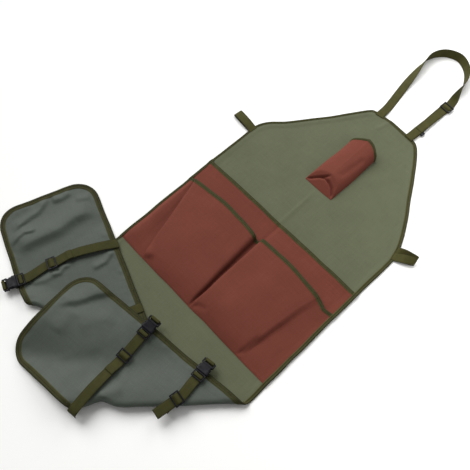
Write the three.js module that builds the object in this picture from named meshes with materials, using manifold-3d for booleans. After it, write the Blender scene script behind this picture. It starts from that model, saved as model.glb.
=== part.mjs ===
// Gardening apron lying on its back, both legs folded up over the front.
// Millimetres, +Z up. The origin is on the floor, on the centre line at the rear pocket's top edge,
// +Y runs toward the bib and +X to the right.
import * as THREE from "three";
import { mergeVertices } from "three/addons/utils/BufferGeometryUtils.js";
import Module from "manifold-3d";

const wasm = await Module();
wasm.setup();

// Cloth, tape and webbing
const CLOTH = 1.2;
const POCKET_CLOTH = 1.0;
const TAPE = 0.8;
const TAPE_WIDTH = 10;
const WEB = 1.5;
const WEB_WIDTH = 25;
const GAP = 0.3;

// Main panel, laid flat
const HALF_WIDTH = 265;
const WAIST_LINE = -330;
const CROTCH = -400;
const HALF_SLIT = 2.5;
const HEM = -904;
const HEM_RADIUS = 58;
const EDGE_STRIP = 11;
const EDGE_SLOPE = 24;

// Edge of the bib as it lies, from the top to the waist
const BIB_EDGE = [
  { y: 445, left: -60, right: 71 },
  { y: 441, left: -71, right: 83 },
  { y: 430, left: -81, right: 96 },
  { y: 405, left: -98, right: 116 },
  { y: 353, left: -132, right: 151 },
  { y: 287, left: -177, right: 192 },
  { y: 237, left: -214, right: 224 },
  { y: 199, left: -246, right: 244 },
  { y: 170, left: -261, right: 257 },
  { y: 132, left: -265, right: 265 },
];

// Each leg is mirrored in the line from its outer to its inner fold point, around a roll of cloth
const LEG_COLUMNS = [0, 11, 24, 60, 100, 140, 180, 215, 238.5, 251.5, 262.5];
const ROLL_STEPS = 8;
const LEFT_LEG = {
  side: -1, outer: [-265, -615], inner: [-2.5, -430], rollOuter: 7, rollInner: 2.8,
  levelOuter: 1.8, levelInner: 1.8, fall: 62, rows: [0.8, 1], flapRows: 6,
};
const RIGHT_LEG = {
  side: 1, outer: [265, -382], inner: [2.5, -679], rollOuter: 7, rollInner: 12,
  levelOuter: 1.8, levelInner: 3.4, fall: 125, rows: [0.22, 0.5, 0.75, 1], flapRows: 7,
};

// Heights of the cloth's middle surface where it lies
const LIE = CLOTH / 2;
const EDGE_LIE = LIE + GAP + TAPE + 0.1;
const FLOOR_LIE = 1.9;
const LEFT_FLAP_ON_BODY = 5.8;
const RIGHT_FLAP_ON_BODY = 6;
const FLAP_ON_FLAP = 6.2;

// Pockets
const SEAM_X = 254.3;
const REAR_BOTTOM = -319;
const FRONT_MOUTH = -70;
const FRONT_BOTTOM = -319;

// Front pocket across: place at the mouth and at the bottom, height at the mouth and halfway down
const FRONT_FOLDS = [
  { mouthX: -254.3, bottomX: -254.3, mouth: 1.6, middle: 0 },
  { mouthX: -247, bottomX: -226, mouth: 6, middle: 3 },
  { mouthX: -238, bottomX: -188, mouth: 13, middle: 11 },
  { mouthX: -190, bottomX: -150, mouth: 17, middle: 15 },
  { mouthX: -125, bottomX: -105, mouth: 20, middle: 17 },
  { mouthX: -60, bottomX: -55, mouth: 19, middle: 15 },
  { mouthX: -15, bottomX: -5, mouth: 15, middle: 9 },
  { mouthX: -3, bottomX: -1, mouth: 1.6, middle: 0 },
  { mouthX: 4, bottomX: 3, mouth: 14, middle: 8 },
  { mouthX: 50, bottomX: 45, mouth: 18, middle: 15 },
  { mouthX: 110, bottomX: 95, mouth: 20, middle: 17 },
  { mouthX: 175, bottomX: 142, mouth: 16, middle: 14 },
  { mouthX: 226, bottomX: 179, mouth: 12, middle: 10 },
  { mouthX: 237, bottomX: 196, mouth: 5, middle: 3 },
  { mouthX: 254.3, bottomX: 254.3, mouth: 1.6, middle: 0 },
];

// Bib pocket across: mouth and bottom points, heights at the mouth and halfway down
const BIB_FOLDS = [
  { mouthX: -46, mouthY: 322, bottomX: -51, mouth: 1.6, middle: 0 },
  { mouthX: -37, mouthY: 329, bottomX: -37, mouth: 14, middle: 13 },
  { mouthX: -25, mouthY: 338, bottomX: -21, mouth: 23, middle: 20 },
  { mouthX: -8, mouthY: 345, bottomX: -5, mouth: 28, middle: 23 },
  { mouthX: 12, mouthY: 340, bottomX: 11, mouth: 24, middle: 20 },
  { mouthX: 31, mouthY: 329, bottomX: 26, mouth: 14, middle: 13 },
  { mouthX: 42, mouthY: 321, bottomX: 40, mouth: 1.6, middle: 0 },
];
const BIB_POCKET_BOTTOM = 146;

// Neck strap from the left root over the arch: place and turn of its face outward, in degrees
const NECK_ROUTE = [
  { x: -47, y: 447.2, turn: 0 },
  { x: -48, y: 475, turn: 0 },
  { x: -55, y: 520, turn: 0 },
  { x: -64, y: 572, turn: 10 },
  { x: -71, y: 620, turn: 35 },
  { x: -77, y: 664, turn: 68 },
  { x: -76, y: 702, turn: 96 },
  { x: -55, y: 739, turn: 116 },
  { x: -14, y: 757, turn: 122 },
  { x: 27, y: 737, turn: 118 },
  { x: 50, y: 701, turn: 104 },
  { x: 60, y: 662, turn: 66 },
  { x: 65, y: 632, turn: 20 },
];
const NECK_SLIDER = [67, 597];
const NECK_RING = [60, 480];
const NECK_TAB_ROOT = [58, 447.2];

// Leg straps: height on the flat leg, bow, and places measured inward from the leg's outer edge.
// The hook is the end's path past its root, along the strap and off the cloth.
const OVER_ROLL = [[-46, -17], [-45, -10], [-42, -5], [-36, -1.2], [-27, 0]];
const UNDER_ROLL = [[-36, -19], [-34.5, -12], [-31, -6], [-25, -1.5], [-18, 0]];
const OVER_EDGE = [[-2.6, -4.8], [-2.6, -2.6], [-1.6, -0.6], [1, 0]];
// The tab is sewn on the leg or to its edge, at these distances inward and heights off the cloth.
const ON_LEG = [[24, 0], [18, 0], [13, 0]];
const AT_EDGE = [[-1.7, -1.6], [-4, -1.6]];
const STRAPS = [
  { name: "a", leg: RIGHT_LEG, y: -673, bow: 0, buckle: 36, slider: 94, tail: 50, root: 222,
    hook: OVER_ROLL, sewn: ON_LEG },
  { name: "b", leg: RIGHT_LEG, y: -505, bow: -7, buckle: 30, slider: 90, tail: 56, root: 90,
    hook: UNDER_ROLL, sewn: ON_LEG },
  { name: "c", leg: LEFT_LEG, y: -692, bow: -17, buckle: 21, slider: 95, tail: 52, root: 262.5,
    hook: OVER_EDGE, sewn: AT_EDGE },
];
const HIDDEN_STRAP = { leg: LEFT_LEG, y: -510, from: 190, to: 262.5 };
const STRAP_LIFT = 2.8;
const BUCKLE_LIFT = 4;

// Slider and ring
const SLIDER = { width: 33, length: 24, slotWidth: 26.6, slotInner: 2, slotOuter: 8.8, thick: 2.6 };
const RING = { width: 33, length: 14, slotWidth: 26.6, slot: 4, thick: 3.2 };

// Side-release buckle, measured along the strap from the male half's rear edge
const BUCKLE = {
  halfWidth: 17, waist: 13.5, maleThick: 3.6, femaleThick: 9, endThick: 4,
  mouth: 19.5, windowFrom: 29, windowTo: 41, endFrom: 44.5, slotTo: 49.5, end: 53.5,
};

const { lerp, degToRad } = THREE.MathUtils;

function smooth(from, to, value) {
  return THREE.MathUtils.smoothstep(value, from, to);
}

// Closed solid from points and triangles, turned so that its faces point out
function solid(points, triangles) {
  let volume = 0;
  for (const [a, b, c] of triangles) {
    volume += points[a].dot(new THREE.Vector3().crossVectors(points[b], points[c]));
  }
  const index = volume > 0 ? triangles.flat() : triangles.flatMap(([a, b, c]) => [a, c, b]);
  const geometry = new THREE.BufferGeometry();
  const positions = points.flatMap((point) => point.toArray());
  geometry.setAttribute("position", new THREE.Float32BufferAttribute(positions, 3));
  geometry.setIndex(index);
  geometry.computeVertexNormals();
  return geometry;
}

// Middle surface of a cloth: shared points and triangles
class Sheet {
  points = [];
  triangles = [];
  known = new Map();

  add(point) {
    const key = point.toArray().map((v) => Math.round(v * 1000)).join(",");
    if (!this.known.has(key)) {
      this.known.set(key, this.points.length);
      this.points.push(point);
    }
    return this.known.get(key);
  }

  row(points) {
    return points.map((point) => this.add(point));
  }

  quad(a, b, c, d) {
    this.triangles.push([a, b, c], [a, c, d]);
  }

  // Rows run down the cloth and each row runs to the right
  grid(rows) {
    for (let r = 0; r + 1 < rows.length; r += 1) {
      for (let c = 0; c + 1 < rows[r].length; c += 1) {
        this.quad(rows[r][c], rows[r + 1][c], rows[r + 1][c + 1], rows[r][c + 1]);
      }
    }
  }

  // Flat filling of a closed chain of points
  fill(chain) {
    const outline = chain.map((i) => new THREE.Vector2(this.points[i].x, this.points[i].y));
    for (const [a, b, c] of THREE.ShapeUtils.triangulateShape(outline, [])) {
      const ab = outline[b].clone().sub(outline[a]);
      const ac = outline[c].clone().sub(outline[a]);
      const [second, third] = ab.cross(ac) > 0 ? [b, c] : [c, b];
      this.triangles.push([chain[a], chain[second], chain[third]]);
    }
  }

  normals() {
    const normals = this.points.map(() => new THREE.Vector3());
    for (const [a, b, c] of this.triangles) {
      const ab = this.points[b].clone().sub(this.points[a]);
      const ac = this.points[c].clone().sub(this.points[a]);
      const face = ab.cross(ac);
      for (const i of [a, b, c]) normals[i].add(face);
    }
    return normals.map((n) => n.normalize());
  }

  // Cloth of the given thickness around the middle surface
  thicken(thickness) {
    const normals = this.normals();
    const count = this.points.length;
    const front = this.points.map((p, i) => p.clone().addScaledVector(normals[i], thickness / 2));
    const back = this.points.map((p, i) => p.clone().addScaledVector(normals[i], -thickness / 2));
    const triangles = [];
    const edges = new Map();
    for (const [a, b, c] of this.triangles) {
      triangles.push([a, b, c], [a + count, c + count, b + count]);
      for (const [from, to] of [[a, b], [b, c], [c, a]]) {
        if (!edges.delete(`${to},${from}`)) edges.set(`${from},${to}`, [from, to]);
      }
    }
    for (const [from, to] of edges.values()) {
      triangles.push([from, from + count, to + count], [from, to + count, to]);
    }
    return solid([...front, ...back], triangles);
  }

  // Tape folded over the edge: pairs of an edge point and the point one strip inside it
  bind(pairs, thickness, closed) {
    const normals = this.normals();
    const near = thickness / 2 + GAP;
    const far = near + TAPE;
    const points = [];
    for (const [edge, inside] of pairs) {
      const out = this.points[edge].clone().sub(this.points[inside]);
      const share = Math.min(1, TAPE_WIDTH / out.length());
      out.normalize();
      const leg = this.points[edge].clone().lerp(this.points[inside], share);
      const legNormal = normals[edge].clone().lerp(normals[inside], share).normalize();
      const at = (base, normal, up, outward) =>
        points.push(base.clone().addScaledVector(normal, up).addScaledVector(out, outward));
      at(leg, legNormal, far, 0);
      at(this.points[edge], normals[edge], far, GAP + TAPE);
      at(this.points[edge], normals[edge], -far, GAP + TAPE);
      at(leg, legNormal, -far, 0);
      at(leg, legNormal, -near, 0);
      at(this.points[edge], normals[edge], -near, GAP);
      at(this.points[edge], normals[edge], near, GAP);
      at(leg, legNormal, near, 0);
    }
    const ends = [[0, 7, 6], [0, 6, 1], [1, 6, 5], [1, 5, 2], [2, 5, 4], [2, 4, 3]];
    return sweep(points, 8, closed, ends, [2, 6]);
  }
}

// Skin over sections of equal point count, capped with the given end triangles where it is open.
// The sides listed as turned are split along their other diagonal.
function sweep(points, size, closed, ends, turned = []) {
  const sections = points.length / size;
  const triangles = [];
  for (let s = 0; s < (closed ? sections : sections - 1); s += 1) {
    const here = s * size;
    const next = ((s + 1) % sections) * size;
    for (let i = 0; i < size; i += 1) {
      const j = (i + 1) % size;
      if (turned.includes(i)) {
        triangles.push([here + j, next + j, next + i], [here + j, next + i, here + i]);
      } else {
        triangles.push([here + i, here + j, next + j], [here + i, next + j, next + i]);
      }
    }
  }
  if (!closed) {
    const last = (sections - 1) * size;
    for (const [a, b, c] of ends) triangles.push([a, b, c], [last + a, last + c, last + b]);
  }
  return solid(points, triangles);
}

// Webbing through stations of a place, the direction across it and the direction off its face
function ribbon(stations) {
  const points = [];
  for (const { at, across, off } of stations) {
    for (const [a, o] of [[-1, -1], [1, -1], [1, 1], [-1, 1]]) {
      points.push(at.clone().addScaledVector(across, a * WEB_WIDTH / 2).addScaledVector(off, o * WEB / 2));
    }
  }
  return sweep(points, 4, false, [[0, 2, 1], [0, 3, 2]]);
}

// Stations along a path in the plane of a frame, with the face kept square to the path
function pathStations(frame, path) {
  return path.map(([y, z], i) => {
    const [y0, z0] = path[Math.max(i - 1, 0)];
    const [y1, z1] = path[Math.min(i + 1, path.length - 1)];
    const length = Math.hypot(y1 - y0, z1 - z0);
    return {
      at: frame.at.clone().addScaledVector(frame.along, y).addScaledVector(frame.off, z),
      across: frame.across,
      off: frame.off.clone().multiplyScalar((y1 - y0) / length)
        .addScaledVector(frame.along, (z0 - z1) / length),
    };
  });
}

// Fold of a leg: direction off the fold line, roll radius and height at a place across, way past the
// fold line and the place on it
function foldNormal(leg) {
  const dx = leg.inner[0] - leg.outer[0];
  const dy = leg.inner[1] - leg.outer[1];
  const length = Math.hypot(dx, dy);
  return [-leg.side * dy / length, leg.side * dx / length];
}

function rollRadius(leg, x) {
  return lerp(leg.rollOuter, leg.rollInner, (HALF_WIDTH - Math.abs(x)) / (HALF_WIDTH - HALF_SLIT));
}

function foldLevel(leg, x) {
  return lerp(leg.levelOuter, leg.levelInner, (HALF_WIDTH - Math.abs(x)) / (HALF_WIDTH - HALF_SLIT));
}

function pastFold(leg, x, y) {
  const [nx, ny] = foldNormal(leg);
  return (x - leg.outer[0]) * nx + (y - leg.outer[1]) * ny;
}

function foldRow(leg, x, past) {
  const [nx, ny] = foldNormal(leg);
  return leg.outer[1] + (past - (x - leg.outer[0]) * nx) / ny;
}

// Soft ridge along a line on a flap
function ridge(x, y, from, to, height, spread) {
  const dx = to[0] - from[0];
  const dy = to[1] - from[1];
  const length = Math.hypot(dx, dy);
  const beside = ((x - from[0]) * dy - (y - from[1]) * dx) / length;
  const along = ((x - from[0]) * dx + (y - from[1]) * dy) / length;
  const ends = smooth(-60, 20, along) * (1 - smooth(length - 20, length + 60, along));
  return height * ends * Math.exp(-((beside / spread) ** 2));
}

// Height of a flap's middle surface over a place on the floor, a given way past its roll
function leftFlapHeight(x, y, past, rollTop) {
  const lie = lerp(FLOOR_LIE, LEFT_FLAP_ON_BODY, smooth(-335, -274, x));
  const waves = ridge(x, y, [-330, -345], [-368, -470], 5, 30)
    + ridge(x, y, [-440, -400], [-470, -500], 5, 22);
  return lerp(rollTop, lie, smooth(0, LEFT_LEG.fall, past)) + waves;
}

function rightFlapHeight(x, y, past, rollTop) {
  const off = pastFold(LEFT_LEG, x, y);
  const [nx] = foldNormal(LEFT_LEG);
  const under = rollRadius(LEFT_LEG, Math.min(x - 2 * off * nx, -HALF_SLIT));
  const underTop = LEFT_LEG.levelOuter + 2 * under;
  const leftFlap = leftFlapHeight(x, y, Math.max(-off - Math.PI * under / 2, 0), underTop);
  const ground = lerp(FLOOR_LIE, RIGHT_FLAP_ON_BODY, smooth(-90, -14, x));
  const lie = lerp(ground, leftFlap + FLAP_ON_FLAP, 1 - smooth(4, 110, off));
  const onLeft = lerp(ground, lie, 1 - smooth(-10, 70, x));
  const waves = ridge(x, y, [-200, -560], [-165, -470], 5, 26)
    + ridge(x, y, [-110, -600], [-60, -500], 4, 30);
  return lerp(rollTop, onLeft, smooth(0, RIGHT_LEG.fall, past)) + waves;
}

// Place of a point of the flat leg once the leg is folded
function layLeg(leg, x, y) {
  const [nx, ny] = foldNormal(leg);
  const off = pastFold(leg, x, y);
  const radius = rollRadius(leg, x);
  const past = off + Math.PI * radius / 2;
  const foot = [x - off * nx, y - off * ny];
  if (past <= 0) {
    return new THREE.Vector3(x, y, bodyHeight(x, y));
  }
  if (past < Math.PI * radius) {
    const angle = past / radius;
    const reach = radius * Math.sin(angle) - Math.PI * radius / 2;
    const z = foldLevel(leg, x) + radius * (1 - Math.cos(angle));
    return new THREE.Vector3(foot[0] + reach * nx, foot[1] + reach * ny, z);
  }
  const px = foot[0] - off * nx;
  const py = foot[1] - off * ny;
  const height = leg === LEFT_LEG ? leftFlapHeight : rightFlapHeight;
  const rollTop = foldLevel(leg, x) + 2 * radius;
  return new THREE.Vector3(px, py, height(px, py, past - Math.PI * radius, rollTop));
}

// Height of the body's middle surface: flat on the floor, raised at its bound edges and at the folds
function bodyHeight(x, y) {
  const side = EDGE_LIE - LIE;
  let rise = side * (1 - smooth(EDGE_STRIP, EDGE_SLOPE, HALF_WIDTH - Math.abs(x)));
  if (y < CROTCH + EDGE_STRIP + 1) {
    rise = Math.max(rise, side * (1 - smooth(EDGE_STRIP, EDGE_SLOPE, Math.abs(x) - HALF_SLIT)));
  }
  for (const leg of [LEFT_LEG, RIGHT_LEG]) {
    if (x * leg.side > 0 && y <= WAIST_LINE) {
      const before = -(pastFold(leg, x, y) + Math.PI * rollRadius(leg, x) / 2);
      const clear = smooth(0, EDGE_SLOPE, WAIST_LINE - y);
      rise = Math.max(rise, clear * (foldLevel(leg, x) - LIE) * (1 - smooth(0, 50, before)));
    }
  }
  return LIE + rise;
}

// Chain of points a given way inside the bib and body outline
function insetChain(chain, inset, z) {
  return chain.map(([x, y], i) => {
    const before = chain[Math.max(i - 1, 0)];
    const after = chain[Math.min(i + 1, chain.length - 1)];
    const inward = ([x0, y0], [x1, y1]) => new THREE.Vector2(y1 - y0, x0 - x1).normalize();
    const a = i > 0 ? inward(before, [x, y]) : inward([x, y], after);
    const b = i + 1 < chain.length ? inward([x, y], after) : a;
    const way = a.clone().add(b).normalize();
    way.multiplyScalar(inset / way.dot(a));
    return new THREE.Vector3(x + way.x, y + way.y, z);
  });
}

// Bib and body above the waist line, then each leg down to its fold, around its roll and to its hem
function mainPanel() {
  const sheet = new Sheet();
  const outline = [
    [-HALF_WIDTH, WAIST_LINE],
    ...BIB_EDGE.slice().reverse().map(({ y, left }) => [left, y]),
    ...BIB_EDGE.map(({ y, right }) => [right, y]),
    [HALF_WIDTH, WAIST_LINE],
  ];
  const rings = [[0, EDGE_LIE], [EDGE_STRIP, EDGE_LIE], [EDGE_SLOPE, LIE]]
    .map(([inset, z]) => sheet.row(insetChain(outline, inset, z)));
  for (let r = 0; r < 2; r += 1) {
    for (let i = 0; i + 1 < outline.length; i += 1) {
      sheet.quad(rings[r + 1][i], rings[r + 1][i + 1], rings[r][i + 1], rings[r][i]);
    }
  }

  const columns = (leg) => {
    const xs = LEG_COLUMNS.map((c) => leg.side * (HALF_WIDTH - c));
    return leg.side < 0 ? xs : xs.reverse();
  };
  const waistPoint = (x) => new THREE.Vector3(x, WAIST_LINE, bodyHeight(x, WAIST_LINE));
  const waistRow = (leg) => sheet.row(columns(leg).map(waistPoint));
  const waist = { [-1]: waistRow(LEFT_LEG), 1: waistRow(RIGHT_LEG) };
  const seam = [...waist[-1].slice(2), ...waist[1].slice(0, -2)].reverse();
  sheet.fill([...rings[2].slice(0, -1), ...seam.slice(0, -1)]);

  const legEdges = {};
  for (const leg of [LEFT_LEG, RIGHT_LEG]) {
    const xs = columns(leg);
    const start = (x) => foldRow(leg, x, -Math.PI * rollRadius(leg, x) / 2);
    const rows = [waist[leg.side]];
    for (const share of leg.rows) {
      rows.push(sheet.row(xs.map((x) => {
        const y = lerp(WAIST_LINE, start(x), share);
        return new THREE.Vector3(x, y, bodyHeight(x, y));
      })));
    }
    for (let k = 1; k <= ROLL_STEPS; k += 1) {
      rows.push(sheet.row(xs.map((x) => {
        const radius = rollRadius(leg, x);
        return layLeg(leg, x, foldRow(leg, x, (k / ROLL_STEPS - 0.5) * Math.PI * radius));
      })));
    }
    const last = xs.length - 1;
    const end = (x) => foldRow(leg, x, Math.PI * rollRadius(leg, x) / 2);
    const top = HEM + HEM_RADIUS;
    for (let r = 1; r <= leg.flapRows; r += 1) {
      rows.push(sheet.row(xs.map((x) => layLeg(leg, x, lerp(end(x), top, r / leg.flapRows)))));
    }
    for (const angle of [30, 60, 90].map(degToRad)) {
      const corner = (radius) => [HEM_RADIUS - radius * Math.cos(angle), top - radius * Math.sin(angle)];
      const [edgeIn, edgeY] = corner(HEM_RADIUS);
      const [stripIn, stripY] = corner(HEM_RADIUS - EDGE_STRIP);
      rows.push(sheet.row(xs.map((x, c) => {
        if (c === 0) return layLeg(leg, xs[0] + edgeIn, edgeY);
        if (c === last) return layLeg(leg, xs[last] - edgeIn, edgeY);
        const share = (xs[c] - xs[1]) / (xs[last - 1] - xs[1]);
        return layLeg(leg, lerp(xs[0] + stripIn, xs[last] - stripIn, share), stripY);
      })));
    }
    sheet.grid(rows);

    const hemRow = rows[rows.length - 1];
    const hem = sheet.row(xs.slice(1, last).map((x) => {
      const share = (x - xs[1]) / (xs[last - 1] - xs[1]);
      return layLeg(leg, lerp(xs[0] + HEM_RADIUS, xs[last] - HEM_RADIUS, share), HEM);
    }));
    for (let c = 0; c + 1 < hem.length; c += 1) {
      sheet.quad(hem[c], hem[c + 1], hemRow[c + 2], hemRow[c + 1]);
    }
    const down = (edge, strip) => rows.map((row) => [row[edge], row[strip]]);
    legEdges[leg.side] = {
      left: down(0, 1),
      right: down(last, last - 1),
      hem: hem.slice(1, -1).map((point, i) => [point, hemRow[i + 2]]),
      rows,
    };
  }

  const top = sheet.add(new THREE.Vector3(0, CROTCH, EDGE_LIE));
  const strip = sheet.add(new THREE.Vector3(0, CROTCH + EDGE_STRIP, EDGE_LIE));
  const [leftRows, rightRows] = [legEdges[-1].rows, legEdges[1].rows];
  const lastColumn = LEG_COLUMNS.length - 1;
  const around = [leftRows[0][lastColumn], leftRows[1][lastColumn], top, rightRows[1][0], rightRows[0][0]];
  around.forEach((point, i) => sheet.triangles.push([strip, point, around[(i + 1) % around.length]]));

  const edge = [
    [top, strip],
    ...legEdges[-1].right.slice(1),
    ...legEdges[-1].hem.slice().reverse(),
    ...legEdges[-1].left.slice(1).reverse(),
    ...outline.map((_, i) => [rings[0][i], rings[1][i]]),
    ...legEdges[1].right.slice(1),
    ...legEdges[1].hem.slice().reverse(),
    ...legEdges[1].left.slice(1).reverse(),
  ];
  return { sheet, edge };
}

// Rear pocket: flat on the body, lifted along its bound top edge
function rearHeight(x, y) {
  const side = (EDGE_LIE - LIE) * (1 - smooth(EDGE_STRIP, EDGE_SLOPE, HALF_WIDTH - Math.abs(x)));
  const mouth = (TAPE + GAP + 0.1) * (1 - smooth(EDGE_STRIP, EDGE_SLOPE, -y));
  return CLOTH + side + mouth + GAP + POCKET_CLOTH / 2;
}

function rearPocket() {
  const sheet = new Sheet();
  const xs = [-SEAM_X, -241, -120, 0, 120, 241, SEAM_X];
  const rows = [0, -EDGE_STRIP, -EDGE_SLOPE, -160, REAR_BOTTOM]
    .map((y) => sheet.row(xs.map((x) => new THREE.Vector3(x, y, rearHeight(x, y)))));
  sheet.grid(rows);
  return { sheet, edge: rows[0].map((point, i) => [point, rows[1][i]]) };
}

// Puffed pocket: height from the mouth to the sewn bottom
function pocketHeight(fold, share) {
  if (share < 0.55) return lerp(fold.mouth, fold.middle, share / 0.55);
  return fold.middle * Math.sqrt(Math.max(1 - ((share - 0.55) / 0.45) ** 2.4, 0));
}

function frontPocket() {
  const sheet = new Sheet();
  const strip = EDGE_STRIP / (FRONT_MOUTH - FRONT_BOTTOM);
  const shares = [0, strip, 0.2, 0.4, 0.6, 0.76, 0.88, 0.96, 1];
  const rows = shares.map((share) => sheet.row(FRONT_FOLDS.map((fold) => {
    const x = lerp(fold.mouthX, fold.bottomX, share);
    const y = lerp(FRONT_MOUTH, FRONT_BOTTOM, share);
    const base = rearHeight(x, FRONT_BOTTOM) + POCKET_CLOTH + GAP;
    return new THREE.Vector3(x, y, base + pocketHeight(fold, share));
  })));
  sheet.grid(rows);
  return { sheet, edge: rows[0].map((point, i) => [point, rows[1][i]]) };
}

function bibPocket() {
  const sheet = new Sheet();
  const base = CLOTH + GAP + POCKET_CLOTH / 2;
  const rows = [0, 0.06, 0.25, 0.5, 0.68, 0.82, 0.93, 1].map((share) => sheet.row(BIB_FOLDS.map((fold) => {
    const x = lerp(fold.mouthX, fold.bottomX, share);
    const y = lerp(fold.mouthY, BIB_POCKET_BOTTOM, share);
    return new THREE.Vector3(x, y, base + pocketHeight(fold, share));
  })));
  sheet.grid(rows);
  return { sheet, edge: rows[0].map((point, i) => [point, rows[1][i]]) };
}

// Flat frame on the floor: place, direction along the strap, direction across it
function floorFrame([x, y], [toX, toY], z) {
  const along = new THREE.Vector3(toX - x, toY - y, 0).normalize();
  const off = new THREE.Vector3(0, 0, 1);
  return { at: new THREE.Vector3(x, y, z), along, off, across: along.clone().cross(off) };
}

// Top layer of webbing through a slider: under the outer bars and over the middle bar
const LAYER = WEB + GAP;
const SLIDER_MID = LAYER + WEB / 2 + GAP + SLIDER.thick / 2;
const OVER_BAR = SLIDER_MID + SLIDER.thick / 2 + GAP + WEB / 2;
const WEAVE = [[-14, LAYER], [-8.4, LAYER], [-2.6, OVER_BAR], [2.6, OVER_BAR], [8.4, LAYER], [14, LAYER]];

// Neck strap: from the bib's left corner over the arch, through the slider, around the ring and back
const NECK_LIE = 0.95;
const CORNER = GAP + WEB / 2 + 0.05;
const RING_MID = RING.thick / 2 + CORNER;

// Path of webbing around the inner side of a bar: from above it, through the slot, to below it
function barTurn(edge, halfThick, way) {
  const diagonal = CORNER * Math.SQRT1_2;
  return [
    [edge, halfThick + CORNER],
    [edge - way * diagonal, halfThick + diagonal],
    [edge - way * CORNER, halfThick],
    [edge - way * CORNER, -halfThick],
    [edge - way * diagonal, -halfThick - diagonal],
    [edge, -halfThick - CORNER],
  ];
}

function neckStrap() {
  const route = NECK_ROUTE.map(({ x, y, turn }) => new THREE.Vector3(x, y, turn));
  const curve = new THREE.CatmullRomCurve3(route);
  const count = 2 * (NECK_ROUTE.length - 1);
  const stations = [];
  for (let i = 0; i <= count; i += 1) {
    const point = curve.getPoint(i / count);
    const tangent = curve.getTangent(i / count).setZ(0).normalize();
    const outside = new THREE.Vector3(-tangent.y, tangent.x, 0);
    const turn = degToRad(Math.max(point.z, 0));
    const rise = WEB_WIDTH / 2 * Math.sin(turn) + WEB / 2 * Math.abs(Math.cos(turn)) + 0.2;
    const start = lerp(EDGE_LIE, rise, smooth(0, 0.08, i / count));
    stations.push({
      at: new THREE.Vector3(point.x, point.y, Math.max(start, rise)),
      across: outside.clone().multiplyScalar(-Math.cos(turn)).setZ(Math.sin(turn)),
      off: outside.clone().multiplyScalar(Math.sin(turn)).setZ(Math.cos(turn)),
    });
  }
  const slider = floorFrame(NECK_SLIDER, NECK_RING, NECK_LIE);
  const ring = { ...slider, at: new THREE.Vector3(...NECK_RING, NECK_LIE + RING_MID) };
  const turn = barTurn(-RING.slot, RING.thick / 2, -1);
  stations.push(...pathStations(slider, WEAVE));
  stations.push(...pathStations(ring, [[-22, RING_MID], [-8, RING_MID], ...turn, [-8, -RING_MID]]));
  stations.push(...pathStations(slider, [[14, 0], [-12, 0]]));
  return stations;
}

// Short tab from the bib's right corner around the ring's lower bar
function neckTab() {
  const frame = floorFrame(NECK_RING, NECK_TAB_ROOT, NECK_LIE + RING_MID);
  const length = Math.hypot(NECK_RING[0] - NECK_TAB_ROOT[0], NECK_RING[1] - NECK_TAB_ROOT[1]);
  const low = EDGE_LIE - NECK_LIE - RING_MID;
  const path = [
    [length, low], [length - 8, -RING_MID], [8, -RING_MID],
    ...barTurn(RING.slot, RING.thick / 2, 1).reverse(),
    [8, RING_MID], [16, RING_MID - 1.6], [length - 6, low + LAYER + 0.2],
  ];
  return pathStations(frame, path);
}

// Belt loop: doubled webbing sewn to the waist corner, open between its layers
function beltLoop(root, outward, sections) {
  const out = new THREE.Vector3(...outward, 0).normalize();
  const up = new THREE.Vector3(0, 0, 1);
  const side = up.clone().cross(out);
  const layer = ({ reach, half, tilt }, sign) => {
    const turn = degToRad(tilt);
    const lean = Math.sin(turn) * Math.sign(out.x);
    const apart = up.clone().multiplyScalar(Math.cos(turn)).addScaledVector(side, -lean);
    const across = side.clone().multiplyScalar(Math.cos(turn)).addScaledVector(up, lean);
    const middle = NECK_LIE + half * Math.cos(turn) + WEB_WIDTH / 2 * Math.sin(turn);
    const at = new THREE.Vector3(...root, middle);
    at.addScaledVector(out, reach).addScaledVector(apart, sign * half);
    return { at, across };
  };
  const lower = sections.map((section) => layer(section, -1));
  const upper = sections.slice(0, -1).reverse().map((section) => layer(section, 1));
  const round = [...lower, ...upper];
  return round.map((station, i) => {
    const before = round[Math.max(i - 1, 0)].at;
    const after = round[Math.min(i + 1, round.length - 1)].at;
    const along = after.clone().sub(before);
    return { ...station, off: station.across.clone().cross(along).normalize() };
  });
}

const LOOP_START = GAP + TAPE + GAP + 0.3;
const LEFT_LOOP = [
  { reach: LOOP_START, half: 1.05, tilt: 0 },
  { reach: 10, half: 2.4, tilt: 0 },
  { reach: 22, half: 3.6, tilt: 0 },
  { reach: 56, half: 3.7, tilt: 0 },
  { reach: 63, half: 2.6, tilt: 0 },
  { reach: 65.5, half: 0, tilt: 0 },
];
const RIGHT_LOOP = [
  { reach: LOOP_START, half: 1.05, tilt: 0 },
  { reach: 9, half: 4.8, tilt: 8 },
  { reach: 18, half: 8, tilt: 14 },
  { reach: 38, half: 8, tilt: 18 },
  { reach: 47, half: 4.8, tilt: 19 },
  { reach: 50.5, half: 0, tilt: 19 },
];

// Frame on the reverse of a folded leg: along points to the leg's outer edge
function legFrame(leg, x, y, lift, step = 6) {
  const at = layLeg(leg, x, y);
  const along = layLeg(leg, x + leg.side * step, y).sub(layLeg(leg, x - leg.side * step, y)).normalize();
  const rough = layLeg(leg, x, y + step).sub(layLeg(leg, x, y - step));
  const off = along.clone().cross(rough).multiplyScalar(-leg.side).normalize();
  const across = along.clone().cross(off);
  return { at: at.addScaledVector(off, CLOTH / 2 + GAP + WEB / 2 + lift), along, off, across };
}

function bowAt(strap, x) {
  return strap.bow * Math.sin(Math.PI * (HALF_WIDTH - Math.abs(x)) / HALF_WIDTH);
}

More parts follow.
